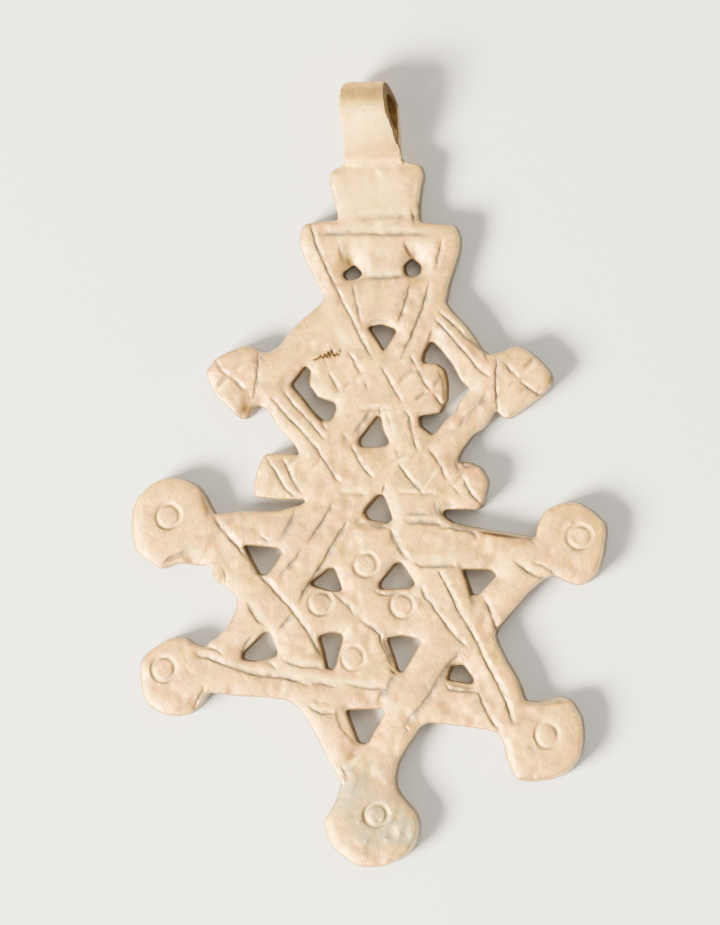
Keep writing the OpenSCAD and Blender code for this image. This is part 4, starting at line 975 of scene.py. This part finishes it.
def hand_filed_silver(tones):
    """Low-grade silver, sand cast and then filed and gravered by hand.

    It gives the eye a satin, cream-grey metal: it mirrors nothing clearly, is paler where it is worn
    and finely scratched and where light is painted, and brown where old tarnish stays in the cuts and on the
    unfinished walls and where shade is painted."""
    material = bpy.data.materials.new("hand_filed_cast_silver")
    material.use_nodes = True
    tree = material.node_tree
    tree.nodes.clear()
    place = add_node(tree, "ShaderNodeTexCoord").outputs["Object"]
    strokes = []
    for turn in STROKE_WAYS:
        way = add_node(tree, "ShaderNodeMapping", {
            "Vector": place, "Rotation": (0, 0, math.radians(turn)), "Scale": (STROKE_LENGTH, 1, 1)},
            vector_type="TEXTURE")
        strokes.append(add_node(tree, "ShaderNodeTexNoise", {
            "Vector": way.outputs[0], "Scale": per_metre(STROKE), "Detail": 2.0, "Roughness": 0.6}))
    regions = add_node(tree, "ShaderNodeTexNoise", {
        "Vector": place, "Scale": per_metre(STROKE_REGION), "Detail": 1.0})
    which = add_node(tree, "ShaderNodeMapRange", {
        0: regions.outputs[0], 1: 0.45, 2: 0.55}, interpolation_type="SMOOTHSTEP")
    files = add_node(tree, "ShaderNodeMix", {
        0: which.outputs[0], 2: strokes[0].outputs[0], 3: strokes[1].outputs[0]}, data_type="FLOAT")

    colour = list(tones.warm)
    for tone, attribute, size, detail, start, full, least, most in COATS:
        patches = files if size is None else add_node(tree, "ShaderNodeTexNoise", {
            "Vector": place, "Scale": per_metre(size), "Detail": detail})
        cover = add_node(tree, "ShaderNodeMapRange", {
            0: patches.outputs[0], 1: start, 2: full, 3: least, 4: most}, interpolation_type="SMOOTHSTEP")
        if attribute:
            laid = add_node(tree, "ShaderNodeAttribute", attribute_name=attribute)
            cover = add_node(tree, "ShaderNodeMath", {
                0: laid.outputs["Fac"], 1: cover.outputs[0]}, operation="MULTIPLY")
        colour = add_node(tree, "ShaderNodeMix", {
            0: cover.outputs[0], 6: colour, 7: list(getattr(tones, tone))}, data_type="RGBA").outputs[2]

    # Satin metal, rougher where it is matt or finely scratched or a highlight is painted; matt parts scatter
    # like no bare metal does
    clouds = add_node(tree, "ShaderNodeTexNoise", {"Vector": place, "Scale": per_metre(0.9), "Detail": 3.0})
    rubbed = add_node(tree, "ShaderNodeMapRange", {0: clouds.outputs[0], 1: 0.3, 2: 0.7, 3: 0.5, 4: 0.62})
    matt = add_node(tree, "ShaderNodeAttribute", attribute_name="matt")
    rough = add_node(tree, "ShaderNodeMath", {
        0: matt.outputs["Fac"], 1: 0.2, 2: rubbed.outputs[0]}, operation="MULTIPLY_ADD")
    scratched_and_highlit = add_node(tree, "ShaderNodeAttribute", attribute_name="polished")
    rough = add_node(tree, "ShaderNodeMath", {
        0: scratched_and_highlit.outputs["Fac"], 1: 0.14, 2: rough.outputs[0]}, operation="MULTIPLY_ADD")
    bare = add_node(tree, "ShaderNodeMath", {0: 1.0, 1: matt.outputs["Fac"]}, operation="SUBTRACT")
    grain = add_node(tree, "ShaderNodeTexNoise", {"Vector": place, "Scale": per_metre(GRIT), "Detail": 3.0})
    height = add_node(tree, "ShaderNodeMix", {
        0: 0.4, 2: files.outputs[0], 3: grain.outputs[0]}, data_type="FLOAT")
    bump = add_node(tree, "ShaderNodeBump", {
        "Height": height.outputs[0], "Distance": RELIEF * MM, "Strength": 0.9})
    surface = add_node(tree, "ShaderNodeBsdfPrincipled", {
        "Base Color": colour, "Metallic": bare.outputs[0], "Roughness": rough.outputs[0],
        "Normal": bump.outputs[0]})
    add_node(tree, "ShaderNodeOutputMaterial", {"Surface": surface.outputs[0]})
    return material


class CROSS_OT_pendant(bpy.types.Operator):
    """Makes the worn, hand-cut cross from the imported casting"""
    bl_idname = "cross.pendant"
    bl_label = "Make the pendant"

    def execute(self, context):
        wear = context.scene.cross_wear
        piece = cast_blank(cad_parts["cross"], PIECE)
        applied(piece, "REMESH", mode="VOXEL", voxel_size=wear.grain, adaptivity=0.0)
        round_outline(piece)
        work_the_face(piece, wear)
        shape_bail(piece)
        soften_bail(piece)
        # The remeshed faces have four sides, so each makes two triangles
        triangles = 2 * len(piece.data.polygons)
        if triangles < wear.share:
            raise RuntimeError("the casting was not remeshed finely")
        applied(piece, "DECIMATE", decimate_type="COLLAPSE", ratio=wear.share / triangles,
                use_collapse_triangulate=True)
        piece.data.shade_smooth()
        lay_tarnish_and_painted_light(piece)
        piece.data.materials.append(hand_filed_silver(context.scene.cross_silver))
        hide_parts("cross")
        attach(piece, "root")
        return {"FINISHED"}


class CrossStage(bpy.types.PropertyGroup):
    """The camera and the light"""
    turn: FloatProperty(
        name="Camera turn", description="How far the camera stands to the right of the face",
        default=math.radians(7.5), subtype="ANGLE", min=-1.5, max=1.5)
    distance: length_setting("Camera distance", "Distance from the face to the camera", 1000, 300, 3000)
    view_height: length_setting("View height", "Height of the picture at the face", 88.5, 50, 500)


# Each lamp is (name, azimuth and elevation in degrees, distance and width in metres, power in watts). The
# main light comes from the lower left.
LAMPS = [("key", 212, 36, 0.7, 0.28, 40.5), ("fill", 60, 60, 0.9, 0.6, 4.5)]
LAMP_COLOUR = (1.0, 0.9, 0.7)
SKY_COLOUR = (1.0, 0.98, 0.95, 1)
SKY_STRENGTH = 0.6
PAPER_COLOUR = "#E0E2E4"
PAPER_HALF = 1.5


class CROSS_OT_stage(bpy.types.Operator):
    """Sets out the pale floor, the soft light and the camera"""
    bl_idname = "cross.stage"
    bl_label = "Set the stage"

    def execute(self, context):
        if PIECE not in bpy.data.objects:
            raise RuntimeError("the pendant has to be made before its stage")
        scene = context.scene
        stage = scene.cross_stage
        # The floor lies just under the back
        sheet = bmesh.new()
        bmesh.ops.create_grid(sheet, x_segments=1, y_segments=1, size=PAPER_HALF)
        bmesh.ops.translate(sheet, verts=sheet.verts, vec=(0, 0, -0.01 * MM))
        floor_mesh = bpy.data.meshes.new("floor")
        sheet.to_mesh(floor_mesh)
        sheet.free()
        floor = bpy.data.objects.new("floor", floor_mesh)
        scene.collection.objects.link(floor)
        paper = bpy.data.materials.new("matt_pale_paper")
        paper.use_nodes = True
        surface = paper.node_tree.nodes["Principled BSDF"]
        surface.inputs["Base Color"].default_value = linear(PAPER_COLOUR)
        surface.inputs["Roughness"].default_value = 0.9
        floor_mesh.materials.append(paper)

        world = bpy.data.worlds.new("studio")
        world.use_nodes = True
        world.node_tree.nodes["Background"].inputs["Color"].default_value = SKY_COLOUR
        world.node_tree.nodes["Background"].inputs["Strength"].default_value = SKY_STRENGTH
        scene.world = world
        aim = Vector((-0.72 * MM, 1.15 * MM, FACE_Z * MM))
        for name, azimuth, elevation, distance, size, power in LAMPS:
            light = bpy.data.lights.new(name, "AREA")
            light.size = size
            light.energy = power
            light.color = LAMP_COLOUR
            lamp = bpy.data.objects.new(name, light)
            a, e = math.radians(azimuth), math.radians(elevation)
            way = Vector((math.cos(e) * math.cos(a), math.cos(e) * math.sin(a), math.sin(e)))
            lamp.location = aim + distance * way
            lamp.rotation_euler = (aim - lamp.location).to_track_quat("-Z", "Y").to_euler()
            scene.collection.objects.link(lamp)

        camera = bpy.data.cameras.new("camera")
        camera.type = "PERSP"
        camera.sensor_width = 36
        camera.lens = camera.sensor_width * stage.distance / stage.view_height
        camera.clip_start = 0.01
        viewer = bpy.data.objects.new("camera", camera)
        viewer.location = aim + stage.distance * Vector((math.sin(stage.turn), 0, math.cos(stage.turn)))
        viewer.rotation_euler = (0, stage.turn, 0)
        scene.collection.objects.link(viewer)
        scene.camera = viewer
        return {"FINISHED"}


class CROSS_PT_panel(bpy.types.Panel):
    """Lists the steps that make the pendant and its stage"""
    bl_label = "Coptic cross"
    bl_idname = "CROSS_PT_panel"
    bl_space_type = "VIEW_3D"
    bl_region_type = "UI"
    bl_category = "Cross"

    def draw(self, context):
        for group in (context.scene.cross_wear, context.scene.cross_silver, context.scene.cross_stage):
            for name in group.__annotations__:
                self.layout.prop(group, name)
        self.layout.operator(CROSS_OT_pendant.bl_idname)
        self.layout.operator(CROSS_OT_stage.bl_idname)


CLASSES = (CrossWear, SilverTones, CrossStage, CROSS_OT_pendant, CROSS_OT_stage, CROSS_PT_panel)


def register():
    for item in CLASSES:
        bpy.utils.register_class(item)
    bpy.types.Scene.cross_wear = PointerProperty(type=CrossWear)
    bpy.types.Scene.cross_silver = PointerProperty(type=SilverTones)
    bpy.types.Scene.cross_stage = PointerProperty(type=CrossStage)


def unregister():
    del bpy.types.Scene.cross_stage
    del bpy.types.Scene.cross_silver
    del bpy.types.Scene.cross_wear
    for item in reversed(CLASSES):
        bpy.utils.unregister_class(item)


def main():
    """Makes the pendant and its stage"""
    register()
    bpy.ops.cross.pendant()
    bpy.ops.cross.stage()


if __name__ == "__main__":
    main()
